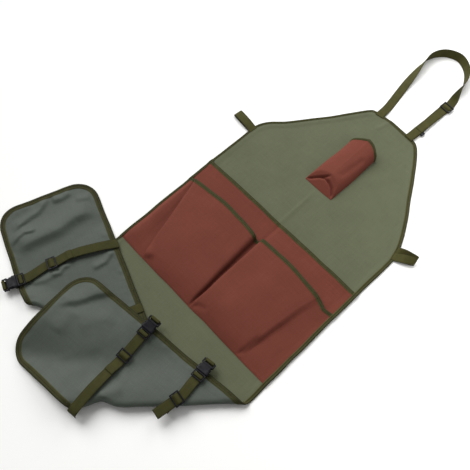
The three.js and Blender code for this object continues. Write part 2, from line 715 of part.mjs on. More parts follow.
function strapFrames(strap) {
  const { leg } = strap;
  const inward = (distance) => leg.side * (HALF_WIDTH - distance);
  const frameAt = (distance, lift, step) => {
    const x = inward(distance);
    return legFrame(leg, x, strap.y + bowAt(strap, x), lift, step);
  };
  return {
    frameAt,
    slider: frameAt(strap.slider, STRAP_LIFT, 14),
    buckle: frameAt(strap.buckle, BUCKLE_LIFT, 20),
  };
}

// Webbing around the middle bar of the male half, from the lower layer to the upper one
const MALE_OFF = BUCKLE.maleThick / 2 + GAP + WEB / 2;
const BAR_LOOP = [
  [-12, 0], [8, 0], [11.2, 0.5], [12.9, 2.4], [13.05, 4.7], [12.4, 6.8], [10.8, 7.5],
  [7.2, 7.5], [5.9, 6.8], [4.6, 2.9], [3, LAYER], [-12, LAYER],
];
const BUCKLE_MID = LAYER + MALE_OFF;

function strapWeb(strap) {
  const { frameAt, slider, buckle } = strapFrames(strap);
  const onFlap = (from, to, lift, step) => {
    const count = Math.max(0, Math.round((from - to) / step));
    return Array.from({ length: count }, (_, i) => frameAt(lerp(from, to, i / count), lift));
  };
  const root = strap.root === strap.slider ? slider : frameAt(strap.root, STRAP_LIFT, 14);
  const past = strap.slider + strap.tail;
  const stations = [
    ...pathStations(root, strap.hook),
    ...onFlap(strap.root - 14, strap.slider + 22, STRAP_LIFT, 14),
    ...pathStations(slider, [[-14, 0], [14, 0]]),
    ...pathStations(buckle, BAR_LOOP),
    ...pathStations(slider, WEAVE.slice().reverse()),
  ];
  if (strap.root > past) {
    const tail = onFlap(past, strap.slider + 22, STRAP_LIFT + LAYER, 14).reverse();
    stations.push(...tail.map((frame) => ({ ...frame, off: frame.off.clone().negate() })));
  } else {
    stations.push(...pathStations(slider, [[-strap.tail + 4, LAYER], [-strap.tail, LAYER]]));
  }
  return stations;
}

// Sewn tab: from the leg under the female half, around its end bar and back into its slot.
const UNDER_FEMALE = BUCKLE.femaleThick / 2 + GAP + WEB / 2;
const TAB_RISE = 6;

function tabWeb(strap) {
  const { frameAt, buckle } = strapFrames(strap);
  const frame = { ...buckle, at: buckle.at.clone().addScaledVector(buckle.off, BUCKLE_MID) };
  const half = BUCKLE.endThick / 2;
  const path = [
    [strap.buckle - strap.sewn.at(-1)[0] + TAB_RISE, -UNDER_FEMALE],
    [BUCKLE.endFrom + 0.7, -UNDER_FEMALE],
    [BUCKLE.slotTo, -half - CORNER - 0.3],
    ...barTurn(BUCKLE.end, half, -1).reverse(),
    ...barTurn(BUCKLE.slotTo, half, 1).slice(0, 3), [BUCKLE.slotTo - CORNER, -0.6],
  ];
  const sewn = strap.sewn.map(([distance, lift]) => frameAt(distance, lift));
  return [...sewn, ...pathStations(frame, path)];
}

// Plate with rounded corners and slots, lying in the frame's plane
function roundedRect(path, x0, y0, x1, y1, radius) {
  path.moveTo(x0 + radius, y0);
  path.lineTo(x1 - radius, y0);
  path.absarc(x1 - radius, y0 + radius, radius, -Math.PI / 2, 0, false);
  path.absarc(x1 - radius, y1 - radius, radius, 0, Math.PI / 2, false);
  path.absarc(x0 + radius, y1 - radius, radius, Math.PI / 2, Math.PI, false);
  path.absarc(x0 + radius, y0 + radius, radius, Math.PI, 1.5 * Math.PI, false);
  return path;
}

function slot(halfWidth, from, to) {
  const hole = new THREE.Path();
  hole.moveTo(-halfWidth, from);
  hole.lineTo(-halfWidth, to);
  hole.lineTo(halfWidth, to);
  hole.lineTo(halfWidth, from);
  hole.closePath();
  return hole;
}

function plate(shape, thickness) {
  const options = { depth: thickness, bevelEnabled: false, curveSegments: 3 };
  const geometry = new THREE.ExtrudeGeometry(shape, options);
  geometry.translate(0, 0, -thickness / 2);
  geometry.deleteAttribute("normal");
  geometry.deleteAttribute("uv");
  return mergeVertices(geometry, 1e-3);
}

function sliderPlate() {
  const [x, y] = [SLIDER.width / 2, SLIDER.length / 2];
  const shape = roundedRect(new THREE.Shape(), -x, -y, x, y, 3);
  shape.holes.push(slot(SLIDER.slotWidth / 2, SLIDER.slotInner, SLIDER.slotOuter));
  shape.holes.push(slot(SLIDER.slotWidth / 2, -SLIDER.slotOuter, -SLIDER.slotInner));
  return plate(shape, SLIDER.thick);
}

function ringPlate() {
  const [x, y] = [RING.width / 2, RING.length / 2];
  const shape = roundedRect(new THREE.Shape(), -x, -y, x, y, 2.5);
  shape.holes.push(slot(RING.slotWidth / 2, -RING.slot, RING.slot));
  return plate(shape, RING.thick);
}

function mirrored(right) {
  const shape = new THREE.Shape();
  const points = [...right, ...right.slice().reverse().map(([x, y]) => [-x, y])];
  points.forEach(([x, y], i) => (i === 0 ? shape.moveTo(x, y) : shape.lineTo(x, y)));
  shape.closePath();
  return shape;
}

// Male half: ladder of bars, two sprung arms with barbs and a centre tongue
function malePlate() {
  const right = [
    [15, 0], [16, 1], [16, 18], [15, 19.2], [12.4, 19.2], [12.2, 29.6], [16.2, 30.4], [16.2, 35],
    [12.6, 40], [9, 40], [8, 38], [8, 22], [3, 22], [3, 36], [1.5, 39],
  ];
  const shape = mirrored(right);
  shape.holes.push(slot(SLIDER.slotWidth / 2, 3, 7));
  shape.holes.push(slot(SLIDER.slotWidth / 2, 11, 15.4));
  return plate(shape, BUCKLE.maleThick);
}

function asSolid(geometry) {
  return new wasm.Manifold(new wasm.Mesh({
    numProp: 3,
    vertProperties: geometry.attributes.position.array,
    triVerts: Uint32Array.from(geometry.index.array),
  }));
}

function box(x, y0, y1, z0, z1) {
  const geometry = new THREE.BoxGeometry(2 * x, y1 - y0, z1 - z0);
  geometry.translate(0, (y0 + y1) / 2, (z0 + z1) / 2);
  geometry.deleteAttribute("normal");
  geometry.deleteAttribute("uv");
  return asSolid(mergeVertices(geometry, 1e-3));
}

// Female half: hollow shell, waisted where the barbs show, with a thin end bar for the tab
function femaleShell() {
  const { halfWidth, waist, mouth, windowFrom, windowTo } = BUCKLE;
  const { endFrom, slotTo, end, femaleThick, endThick } = BUCKLE;
  const right = [
    [halfWidth, mouth], [halfWidth, windowFrom - 1], [waist, windowFrom + 2], [waist, windowTo - 2],
    [halfWidth, windowTo + 1], [halfWidth, end - 2.5], [halfWidth - 2.5, end],
  ];
  const shape = mirrored(right);
  shape.holes.push(slot(SLIDER.slotWidth / 2, endFrom + 0.6, slotTo));
  const hollow = BUCKLE.maleThick / 2 + 0.5;
  const cuts = [
    box(waist + 0.2, mouth - 1, windowTo, -hollow, hollow),
    box(halfWidth + 1, windowFrom, windowTo, -hollow, hollow),
    box(halfWidth + 1, endFrom, end + 1, endThick / 2, femaleThick),
    box(halfWidth + 1, endFrom, end + 1, -femaleThick, -endThick / 2),
  ];
  const shell = cuts.reduce((body, cut) => body.subtract(cut), asSolid(plate(shape, femaleThick)));
  const { vertProperties, triVerts } = shell.getMesh();
  const geometry = new THREE.BufferGeometry();
  geometry.setAttribute("position", new THREE.BufferAttribute(Float32Array.from(vertProperties), 3));
  geometry.setIndex(Array.from(triVerts));
  geometry.computeVertexNormals();
  return geometry;
}

const apron = new THREE.Group();
const GREEN = { color: 0x686b54, roughness: 0.9, metalness: 0 };
const RED = { color: 0x7f4638, roughness: 0.9, metalness: 0 };
const OLIVE = { color: 0x48462a, roughness: 0.95, metalness: 0 };
const BLACK = { color: 0x2c2a31, roughness: 0.5, metalness: 0 };

function put(name, geometry, look, parent = apron) {
  const mesh = new THREE.Mesh(geometry, new THREE.MeshStandardMaterial(look));
  mesh.name = name;
  parent.add(mesh);
  return mesh;
}

// Group that carries hardware made in its own plane: x across, y along the strap, z off the cloth
function mountGroup(frame, height) {
  const group = new THREE.Group();
  const basis = new THREE.Matrix4().makeBasis(frame.across, frame.along, frame.off);
  group.quaternion.setFromRotationMatrix(basis);
  group.position.copy(frame.at).addScaledVector(frame.off, height);
  apron.add(group);
  return group;
}

const panel = mainPanel();
put("main_panel", panel.sheet.thicken(CLOTH), GREEN);
put("edge_binding", panel.sheet.bind(panel.edge, CLOTH, true), OLIVE);

const POCKETS = { rear_pocket: rearPocket(), front_pocket: frontPocket(), bib_pocket: bibPocket() };
for (const [name, pocket] of Object.entries(POCKETS)) {
  put(name, pocket.sheet.thicken(POCKET_CLOTH), RED);
  put(`${name}_binding`, pocket.sheet.bind(pocket.edge, POCKET_CLOTH, false), OLIVE);
}

put("neck_strap", ribbon(neckStrap()), OLIVE);
put("neck_tab", ribbon(neckTab()), OLIVE);
const sliderFrame = floorFrame(NECK_SLIDER, NECK_RING, NECK_LIE);
const ringFrame = floorFrame(NECK_RING, NECK_SLIDER, NECK_LIE);
put("neck_slider", sliderPlate(), BLACK, mountGroup(sliderFrame, SLIDER_MID));
put("neck_ring", ringPlate(), BLACK, mountGroup(ringFrame, RING_MID));
put("left_loop", ribbon(beltLoop([-263, 151], [-38, 4], LEFT_LOOP)), OLIVE);
put("right_loop", ribbon(beltLoop([261, 151], [38, 8], RIGHT_LOOP)), OLIVE);

for (const strap of STRAPS) {
  const { slider, buckle } = strapFrames(strap);
  put(`strap_${strap.name}`, ribbon(strapWeb(strap)), OLIVE);
  put(`tab_${strap.name}`, ribbon(tabWeb(strap)), OLIVE);
  put(`slider_${strap.name}`, sliderPlate(), BLACK, mountGroup(slider, SLIDER_MID));
  const closed = mountGroup(buckle, BUCKLE_MID);
  put(`buckle_male_${strap.name}`, malePlate(), BLACK, closed);
  put(`buckle_female_${strap.name}`, femaleShell(), BLACK, closed);
}

const hidden = [];
for (let distance = HIDDEN_STRAP.from; distance <= HIDDEN_STRAP.to; distance += 12) {
  const x = HIDDEN_STRAP.leg.side * (HALF_WIDTH - distance);
  hidden.push(legFrame(HIDDEN_STRAP.leg, x, HIDDEN_STRAP.y, TAPE + GAP + 0.2));
}
put("strap_d", ribbon(hidden), OLIVE);

export default apron;
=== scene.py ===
"""Gardening apron lying on its back, both legs folded up over the front."""

import bisect
import math

import bmesh
import bpy
from mathutils import Matrix, Vector, noise


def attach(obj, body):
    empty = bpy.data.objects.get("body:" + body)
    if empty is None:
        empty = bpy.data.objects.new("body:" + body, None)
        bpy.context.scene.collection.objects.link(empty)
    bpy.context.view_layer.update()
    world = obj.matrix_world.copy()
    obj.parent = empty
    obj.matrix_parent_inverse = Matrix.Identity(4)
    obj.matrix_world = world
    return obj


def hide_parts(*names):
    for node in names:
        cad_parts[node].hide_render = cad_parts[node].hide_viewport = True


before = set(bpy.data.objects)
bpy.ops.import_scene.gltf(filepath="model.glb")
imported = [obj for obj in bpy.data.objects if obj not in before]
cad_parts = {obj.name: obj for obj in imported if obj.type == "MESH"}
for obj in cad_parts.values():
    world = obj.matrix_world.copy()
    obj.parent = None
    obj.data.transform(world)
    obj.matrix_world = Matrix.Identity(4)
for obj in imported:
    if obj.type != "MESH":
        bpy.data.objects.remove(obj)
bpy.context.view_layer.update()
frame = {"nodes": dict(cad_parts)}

# Main panel: bib, body and two legs in one piece of coated polyester cloth, green outside and grey on
# the coated side. It lies on its back, and each leg is folded up over the front around a soft roll.
# Sizes are in mm and become metres where a mesh is made.
MM = 0.001
CLOTH = 1.0
LIE = 0.6
EDGE_LIE = 2.1
FLOOR_LIE = 2.2
HALF_WIDTH = 265.0
HALF_SLIT = 2.5
WAIST_LINE = -330.0
CROTCH = -418.0
HEM = -904.0
HEM_RADIUS = 58.0
EDGE_STRIP = 11.0
EDGE_SLOPE = 24.0

# Columns: height up the bib, left edge, right edge
BIB_EDGE = [
    (445, -60, 71), (441, -71, 83), (430, -81, 96), (405, -98, 116), (353, -132, 151),
    (287, -177, 192), (237, -214, 224), (199, -246, 244), (170, -261, 257), (132, -265, 265),
]
BIB_TOP = BIB_EDGE[0][0]
BIB_FOOT = BIB_EDGE[-1][0]
RAIL_STEPS = 12
# The bib's top edge bows up: height, middle and half width of the bow, and where it starts
TOP_BOW = 5.0
BOW_MIDDLE = 5
BOW_HALF = 66
BOW_FROM = 390

# Each leg is mirrored in the line from its outer to its inner fold point. From point to point, roll is the
# fold's radius and level the height below it. fall is the way from the roll down to the flap, and pull
# draws the fold in: place along it, depth, spread
LEFT_LEG = dict(side=-1, outer=(-265, -615), inner=(-2.5, -430), roll=(7, 2.8), level=(2.1, 2.1),
                fall=62, pull=(10, 14, 60))
RIGHT_LEG = dict(side=1, outer=(265, -382), inner=(2.5, -679), roll=(7, 12), level=(2.1, 3.6),
                 fall=125, pull=(330, 13, 26))
PULL_REACH = 45
FOLD_RISE = 50
for leg in (LEFT_LEG, RIGHT_LEG):
    dx = leg["inner"][0] - leg["outer"][0]
    dy = leg["inner"][1] - leg["outer"][1]
    length = math.hypot(dx, dy)
    leg["off"] = (-leg["side"] * dy / length, leg["side"] * dx / length)
    leg["along"] = (dx / length, dy / length)

# Heights of the folded legs over what they lie on, and the stretches over which they come down from it
LEFT_FLAP_ON_BODY = 5.8
RIGHT_FLAP_ON_BODY = 6.0
FLAP_ON_FLAP = 6.2
LEFT_OFF_BODY = (-335, -274)
RIGHT_OFF_BODY = (-90, -14)
RIGHT_OFF_LEFT = (4, 110)
RIGHT_CLEAR_OF_LEFT = (-10, 70)

# Unevenness of the cloth. Columns: height, length of its waves, seed
BODY_UNEVEN = (0.6, 85, 2.3)
FLAP_UNEVEN = (0.5, 48, 6.1)
PUCKER = (1.1, 17, 4.4)
DRIFT_X = (1.9, 58, 7.7)
DRIFT_Y = (1.9, 58, 19.1)
UNEVEN_INSET = 60
PUCKER_INSET = 16
PUCKER_SPREAD = 14
# The body lies flat under the pockets, between these stretches
FLAT_BELOW = (-345, -325)
FLAT_ABOVE = (-20, 5)


def lerp(start, end, share):
    return start + (end - start) * share


def smooth(low, high, value):
    share = min(max((value - low) / (high - low), 0.0), 1.0)
    return share * share * (3 - 2 * share)


def spline(knots, steps):
    """Points of a smooth curve through the knots, which may lie unevenly far apart."""
    knots = [Vector(knot) for knot in knots]
    gaps = [(end - start).length for start, end in zip(knots, knots[1:])]
    slopes = []
    for i in range(len(knots)):
        before, after = max(i - 1, 0), min(i + 1, len(knots) - 1)
        slopes.append((knots[after] - knots[before]) / sum(gaps[before:after]))
    points = []
    for i, gap in enumerate(gaps):
        for k in range(steps):
            t = k / steps
            start = knots[i] * (1 + 2 * t) + slopes[i] * gap * t
            end = knots[i + 1] * (3 - 2 * t) + slopes[i + 1] * gap * (t - 1)
            points.append(start * (1 - t) ** 2 + end * t * t)
    points.append(knots[-1])
    return points


def around(items, i):
    """Items before and after one, or the item itself at an end."""
    return items[max(i - 1, 0)], items[min(i + 1, len(items) - 1)]


def ripple(x, y, wave):
    """Unevenness of the cloth at a place, up and down by the height of its waves."""
    height, length, seed = wave
    return height * noise.noise(Vector((x / length, y / length, seed)))


FADE = 0.22
WRINKLE_REACH = 2.5


def crease(x, y, path, height, right, left):
    """Height of one wrinkle at a place. It has a spread to each side and fades at the ends of its path."""
    nearest = (math.inf, 0, 0)
    for i, (start, end) in enumerate(zip(path, path[1:])):
        dx, dy = end[0] - start[0], end[1] - start[1]
        px, py = x - start[0], y - start[1]
        t = min(max((px * dx + py * dy) / (dx * dx + dy * dy), 0), 1)
        away = math.hypot(px - t * dx, py - t * dy)
        nearest = min(nearest, (away, (i + t) / (len(path) - 1), px * dy - py * dx))
    away, share, side = nearest
    ends = smooth(0, FADE, share) * (1 - smooth(1 - FADE, 1, share))
    return height * ends * math.exp(-((away / (right if side > 0 else left)) ** 2))


def wrinkles(rows):
    """Summed height of wrinkles as a function of place. Rows: path, height, spread to its right and left."""
    boxes = []
    for path, height, right, left in rows:
        reach = WRINKLE_REACH * max(right, left)
        xs, ys = zip(*path)
        boxes.append((min(xs) - reach, max(xs) + reach, min(ys) - reach, max(ys) + reach))

    def total(x, y):
        near = [row for row, (x0, x1, y0, y1) in zip(rows, boxes) if x0 < x < x1 and y0 < y < y1]
        return sum(crease(x, y, *row) for row in near)

    return total


# Creases of the folded legs, most of them steeper to one side, and faint ones of the bib and body
LEFT_WRINKLES = wrinkles([
    ([(-355, -317), (-376, -347), (-382, -374), (-384, -422), (-399, -474), (-410, -513), (-414, -550)],
     10.0, 36, 15),
    ([(-479, -386), (-469, -410), (-461, -432), (-463, -459), (-463, -491), (-455, -516)], 4.8, 14, 4.5),
    ([(-449, -333), (-452, -367), (-463, -391)], 4.5, 14, 5),
    ([(-426, -461), (-426, -477), (-437, -494), (-436, -516), (-430, -546)], 4.8, 12, 4.5),
    ([(-401, -304), (-426, -344)], 2.8, 12, 7),
    ([(-243, -358), (-231, -393), (-238, -432)], 4.0, 12, 5),
    ([(-286, -458), (-293, -478), (-287, -495), (-300, -519)], 4.2, 9, 5),
    ([(-289, -493), (-298, -533), (-319, -570)], 3.2, 16, 8),
])
RIGHT_WRINKLES = wrinkles([
    ([(-150, -420), (-178, -469), (-193, -504), (-225, -556)], 8.5, 34, 9),
    ([(-95, -455), (-129, -508), (-150, -549)], 3.0, 36, 22),
    ([(-184, -523), (-176, -562), (-168, -596)], 2.5, 28, 18),
    ([(-68, -526), (-96, -580), (-127, -633)], 2.4, 32, 18),
    ([(-47, -573), (-68, -616), (-82, -664)], 2.3, 30, 20),
    ([(29, -625), (42, -555)], 3.2, 14, 14),
    ([(0, -640), (-18, -585)], 2.4, 15, 15),
])
BODY_WRINKLES = wrinkles([
    ([(-7, -40), (-8, 150)], 1.6, 7, 3.2),
    ([(-28, 395), (-6, 460)], 1.2, 8, 4),
    ([(130, 345), (50, 225)], 0.9, 20, 12),
    ([(-200, 50), (-80, 115)], 0.9, 20, 14),
])


def leg_share(x):
    return (HALF_WIDTH - abs(x)) / (HALF_WIDTH - HALF_SLIT)


def past_fold(leg, x, y):
    return (x - leg["outer"][0]) * leg["off"][0] + (y - leg["outer"][1]) * leg["off"][1]


def left_flap(x, y, past, roll_top):
    """Height of the left leg's folded part."""
    lie = lerp(FLOOR_LIE, LEFT_FLAP_ON_BODY, smooth(*LEFT_OFF_BODY, x))
    return lerp(roll_top, lie, smooth(0, LEFT_LEG["fall"], past)) + LEFT_WRINKLES(x, y)


def right_flap(x, y, past, roll_top):
    """Height of the right leg's folded part, which lies over the left one."""
    off = past_fold(LEFT_LEG, x, y)
    under = lerp(*LEFT_LEG["roll"], leg_share(min(x - 2 * off * LEFT_LEG["off"][0], -HALF_SLIT)))
    below = left_flap(x, y, max(-off - math.pi * under / 2, 0), LEFT_LEG["level"][0] + 2 * under)
    ground = lerp(FLOOR_LIE, RIGHT_FLAP_ON_BODY, smooth(*RIGHT_OFF_BODY, x))
    lie = lerp(ground, below + FLAP_ON_FLAP, 1 - smooth(*RIGHT_OFF_LEFT, off))
    lie = lerp(ground, lie, 1 - smooth(*RIGHT_CLEAR_OF_LEFT, x))
    return lerp(roll_top, lie, smooth(0, RIGHT_LEG["fall"], past)) + RIGHT_WRINKLES(x, y)


LEFT_RAIL = spline([(left, y) for y, left, right in BIB_EDGE], RAIL_STEPS)
RIGHT_RAIL = spline([(right, y) for y, left, right in BIB_EDGE], RAIL_STEPS)
SLOPE_STEP = 3
NORMAL_STEP = 0.4


def rail_at(rail, y):
    """Where a side edge of the bib is at a height."""
    i = min(max(bisect.bisect(rail, -y, key=lambda point: -point.y), 1), len(rail) - 1)
    start, end = rail[i - 1], rail[i]
    return lerp(start.x, end.x, min(max((start.y - y) / (start.y - end.y), 0), 1))


def drift(x, y):
    """Small shift of the cloth in its own plane, which leaves no edge quite straight."""
    return Vector((ripple(x, y, DRIFT_X), ripple(x, y, DRIFT_Y), 0))


def edge_rise(way):
    """Share of the rise at a bound edge, a way inside it."""
    return 1 - smooth(EDGE_STRIP, EDGE_SLOPE, way)


def inside_edge(x, y):
    """Way from a point of the bib or body to its nearest outer edge."""
    if y <= BIB_FOOT:
        return HALF_WIDTH - abs(x)
    ways = [BIB_TOP - y]
    for rail, sign in ((LEFT_RAIL, 1), (RIGHT_RAIL, -1)):
        slope = (rail_at(rail, y + SLOPE_STEP) - rail_at(rail, y - SLOPE_STEP)) / (2 * SLOPE_STEP)
        ways.append(sign * (x - rail_at(rail, y)) / math.hypot(1, slope))
    return min(ways)


def body_height(x, y):
    """Height of the panel where it lies on the floor, raised at its bound edges and at the folds."""
    side = EDGE_LIE - LIE
    rise = side * edge_rise(inside_edge(x, y))
    if y < CROTCH + EDGE_STRIP:
        rise = max(rise, side * edge_rise(abs(x) - HALF_SLIT))
    for leg in (LEFT_LEG, RIGHT_LEG):
        if x * leg["side"] > 0 and y <= WAIST_LINE:
            share = leg_share(x)
            before = -past_fold(leg, x, y) - math.pi * lerp(*leg["roll"], share) / 2
            clear = smooth(0, EDGE_SLOPE, WAIST_LINE - y)
            level = lerp(*leg["level"], share) - LIE
            rise = max(rise, clear * level * (1 - smooth(0, FOLD_RISE, before)))
    covered = smooth(*FLAT_BELOW, y) * (1 - smooth(*FLAT_ABOVE, y))
    uneven = (BODY_UNEVEN[0] + ripple(x, y, BODY_UNEVEN)) * smooth(0, UNEVEN_INSET, inside_edge(x, y))
    return LIE + rise + (uneven + BODY_WRINKLES(x, y)) * (1 - covered)


def drawn_in(leg, x, y, off):
    """How far the fold of a leg is drawn in at a place of the flat panel."""
    spot, depth, spread = leg["pull"]
    along = (x - leg["outer"][0]) * leg["along"][0] + (y - leg["outer"][1]) * leg["along"][1]
    return depth * math.exp(-((along - spot) / spread) ** 2 - (off / PULL_REACH) ** 2)


def lay_leg(leg, x, y):
    """Place of a point of one half of the flat panel as it lies."""
    share = leg_share(x)
    radius = lerp(*leg["roll"], share)
    off = past_fold(leg, x, y)
    past = off + math.pi * radius / 2
    if y > WAIST_LINE or past <= 0:
        bow = TOP_BOW * max(1 - ((x - BOW_MIDDLE) / BOW_HALF) ** 2, 0) * smooth(BOW_FROM, BIB_TOP, y)
        place = Vector((x, y + bow, body_height(x, y))) + drift(x, y)
        if y < WAIST_LINE:
            place -= Vector((*leg["off"], 0)) * drawn_in(leg, x, y, off)
        return place
    nx, ny = leg["off"]
    foot = Vector((x - off * nx, y - off * ny, 0))
    level = lerp(*leg["level"], share)
    if past < math.pi * radius:
        angle = past / radius
        reach = radius * math.sin(angle) - math.pi * radius / 2
        place = foot + Vector((reach * nx, reach * ny, level + radius * (1 - math.cos(angle))))
    else:
        place = foot - Vector((off * nx, off * ny, 0))
        flap = left_flap if leg is LEFT_LEG else right_flap
        place.z = flap(place.x, place.y, past - math.pi * radius, level + 2 * radius)
        edge = min(HALF_WIDTH - abs(x), abs(x) - HALF_SLIT, y - HEM)
        near = math.exp(-((edge - PUCKER_INSET) / PUCKER_SPREAD) ** 2)
        place.z += (PUCKER[0] + ripple(x, y, PUCKER)) * near + FLAP_UNEVEN[0] + ripple(x, y, FLAP_UNEVEN)
    place -= Vector((nx, ny, 0)) * drawn_in(leg, x, y, off)
    return place + drift(place.x, place.y)


def lay(x, y):
    """Place of a point of the flat panel as it lies."""
    return lay_leg(LEFT_LEG if x < 0 else RIGHT_LEG, x, y)


def lay_normal(x, y):
    """Direction off the panel's green side at a point of the flat panel."""
    across = lay(x + NORMAL_STEP, y) - lay(x - NORMAL_STEP, y)
    along = lay(x, y + NORMAL_STEP) - lay(x, y - NORMAL_STEP)
    return across.cross(along).normalized()


WELD = 0.01 * MM
SHARP = math.radians(55)


def faces_at(verts):
    """Faces at some points, each once and in a steady order."""
    return list(dict.fromkeys(face for vert in verts for face in vert.link_faces))


def loft(bm, rows, columns, place):
    """Grid of points added to a mesh. place gives each point and its spot on the flat cloth."""
    uv = bm.loops.layers.uv.verify()
    made = bmesh.ops.create_grid(bm, x_segments=columns - 1, y_segments=rows - 1, size=1)["verts"]
    spots = {}
    for index, vert in enumerate(made):
        point, spot = place(*divmod(index, columns))
        vert.co = point * MM
        spots[vert] = Vector(spot) * MM
    for face in faces_at(made):
        for loop in face.loops:
            loop[uv].uv = spots[loop.vert]
    return made


def add_object(name, data):
    made = bpy.data.objects.new(name, data)
    bpy.context.scene.collection.objects.link(made)
    return made


def piece(bm, name, slot, finishes, *nodes):
    """Finished object from a mesh. It rides on the part and stands for the named solids."""
    mesh = bpy.data.meshes.new(name)
    bm.to_mesh(mesh)
    bm.free()
    for finish in finishes:
        mesh.materials.append(finish)
    mesh.shade_smooth()
    mesh.set_sharp_from_angle(angle=SHARP)
    made = add_object(name, mesh)
    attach(made, "root")
    if nodes:
        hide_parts(*nodes)
    return made


def thicken(made, thickness, reverse=0):
    """Gives a sheet its thickness, half to each side. The reverse may have a finish of its own."""
    wall = made.modifiers.new("cloth", "SOLIDIFY")
    wall.thickness = thickness * MM
    wall.offset = 0
    wall.material_offset = reverse
    ready = made.evaluated_get(bpy.context.evaluated_depsgraph_get())
    made.data = bpy.data.meshes.new_from_object(ready)
    made.modifiers.clear()
    made.data.set_sharp_from_angle(angle=SHARP)


def linear(code):
    """Linear colour from an sRGB hex code."""
    parts = [int(code[i:i + 2], 16) / 255 for i in (1, 3, 5)]
    return [c / 12.92 if c <= 0.04045 else ((c + 0.055) / 1.055) ** 2.4 for c in parts] + [1.0]


def add_node(tree, kind, links=None, out=0, **settings):
    """Output of a new node, whose inputs are set to values or linked to other nodes' outputs."""
    made = tree.nodes.new(kind)
    for name, value in settings.items():
        setattr(made, name, value)
    for socket, value in (links or {}).items():
        if isinstance(value, bpy.types.NodeSocket):
            tree.links.new(value, made.inputs[socket])
        else:
            made.inputs[socket].default_value = value
    return made.outputs[out]


def ramp(tree, factor, stops):
    """Colour ramp over a factor. Each stop is a place from 0 to 1 and a colour."""
    colour = add_node(tree, "ShaderNodeValToRGB", {"Fac": factor})
    elements = colour.node.color_ramp.elements
    elements[0].position, elements[0].color = stops[0]
    elements[1].position, elements[1].color = stops[-1]
    for place, shade in stops[1:-1]:
        elements.new(place).color = shade
    return colour


def new_material(name, roughness, gloss):
    """Material, its node tree and its shader's inputs."""
    made = bpy.data.materials.new(name)
    made.use_nodes = True
    inputs = made.node_tree.nodes["Principled BSDF"].inputs
    inputs["Roughness"].default_value = roughness
    inputs["Specular IOR Level"].default_value = gloss
    return made, made.node_tree, inputs


# Plain-woven polyester: matt, with threads about 0.7 mm apart, drawn at 1.6 mm so that they show, and
# long slubs where a thread is thicker, drawn 2.6 mm wide for the same reason. Sizes of its patterns in mm
THREAD = 1.6
THREAD_HEIGHT = 0.12
SLUB = 2.6
SLUB_LENGTH = 48
DYE_PATCH = 90
CRUMPLE_SIZE = 28
DYE_STOPS = (0.38, 0.62)
CLOTH_GLOSS = 0.2
# A wave texture of scale 1 repeats after this length
WAVE_PERIOD = math.pi / 10


def weave(tree, spot, across, along):
    """Height of a weave, from the gaps between its threads both ways."""
    waves = [
        add_node(tree, "ShaderNodeTexWave", {"Vector": spot, "Scale": WAVE_PERIOD / (gap * MM)}, "Fac",
                 bands_direction=way)
        for way, gap in (("X", across), ("Y", along))
    ]
    return add_node(tree, "ShaderNodeMath", dict(enumerate(waves)), operation="MULTIPLY")


def woven_cloth(name, colour, deep, roughness, crumple):
    """Woven cloth with uneven dye and fine crumples. The coated side is smoother and creases more."""
    made, tree, inputs = new_material(name, roughness, CLOTH_GLOSS)
    spot = add_node(tree, "ShaderNodeTexCoord", out="UV")
    tone = add_node(tree, "ShaderNodeTexNoise", {"Vector": spot, "Scale": 1 / (DYE_PATCH * MM), "Detail": 6})
    for wide, high in ((SLUB, SLUB_LENGTH), (SLUB_LENGTH, SLUB)):
        scale = (1 / (wide * MM), 1 / (high * MM), 1)
        along = add_node(tree, "ShaderNodeMapping", {"Vector": spot, "Scale": scale})
        slub = add_node(tree, "ShaderNodeTexNoise", {"Vector": along, "Scale": 1, "Detail": 2})
        tone = add_node(tree, "ShaderNodeMath", {0: tone, 1: slub}, operation="ADD")
    mean = add_node(tree, "ShaderNodeMath", {0: tone, 1: 3}, operation="DIVIDE")
    colours = ramp(tree, mean, list(zip(DYE_STOPS, (linear(deep), linear(colour)))))
    tree.links.new(colours, inputs["Base Color"])
    creases = add_node(tree, "ShaderNodeTexNoise",
                       {"Vector": spot, "Scale": 1 / (CRUMPLE_SIZE * MM), "Detail": 3})
    soft = add_node(tree, "ShaderNodeBump", {"Height": creases, "Distance": crumple * MM})
    threads = weave(tree, spot, THREAD, THREAD)
    bump = add_node(tree, "ShaderNodeBump",
                    {"Height": threads, "Distance": THREAD_HEIGHT * MM, "Normal": soft})
    tree.links.new(bump, inputs["Normal"])
    return made


GREEN_CLOTH = woven_cloth("green_polyester", "#5d614b", "#565a45", roughness=0.85, crumple=0.6)
GREY_COATING = woven_cloth("grey_coating", "#4f564e", "#494f48", roughness=0.6, crumple=0.9)

HALF_COLUMNS = 84
LOW_ROWS = 26
BODY_ROWS = 100
LEG_ROWS = 168
CORNER_ROWS = 18


def body_point(row, column):
    """Point of the bib and body, from the crotch up. Two columns meet at the slit's sides."""
    if row <= LOW_ROWS:
        y = lerp(CROTCH, WAIST_LINE, row / LOW_ROWS)
    else:
        y = lerp(WAIST_LINE, BIB_TOP, (row - LOW_ROWS) / (BODY_ROWS - LOW_ROWS))
    if column <= HALF_COLUMNS:
        x = lerp(rail_at(LEFT_RAIL, y), -HALF_SLIT, column / HALF_COLUMNS)
    else:
        x = lerp(HALF_SLIT, rail_at(RIGHT_RAIL, y), (column - HALF_COLUMNS - 1) / HALF_COLUMNS)
    return lay(x, y), (x, y)


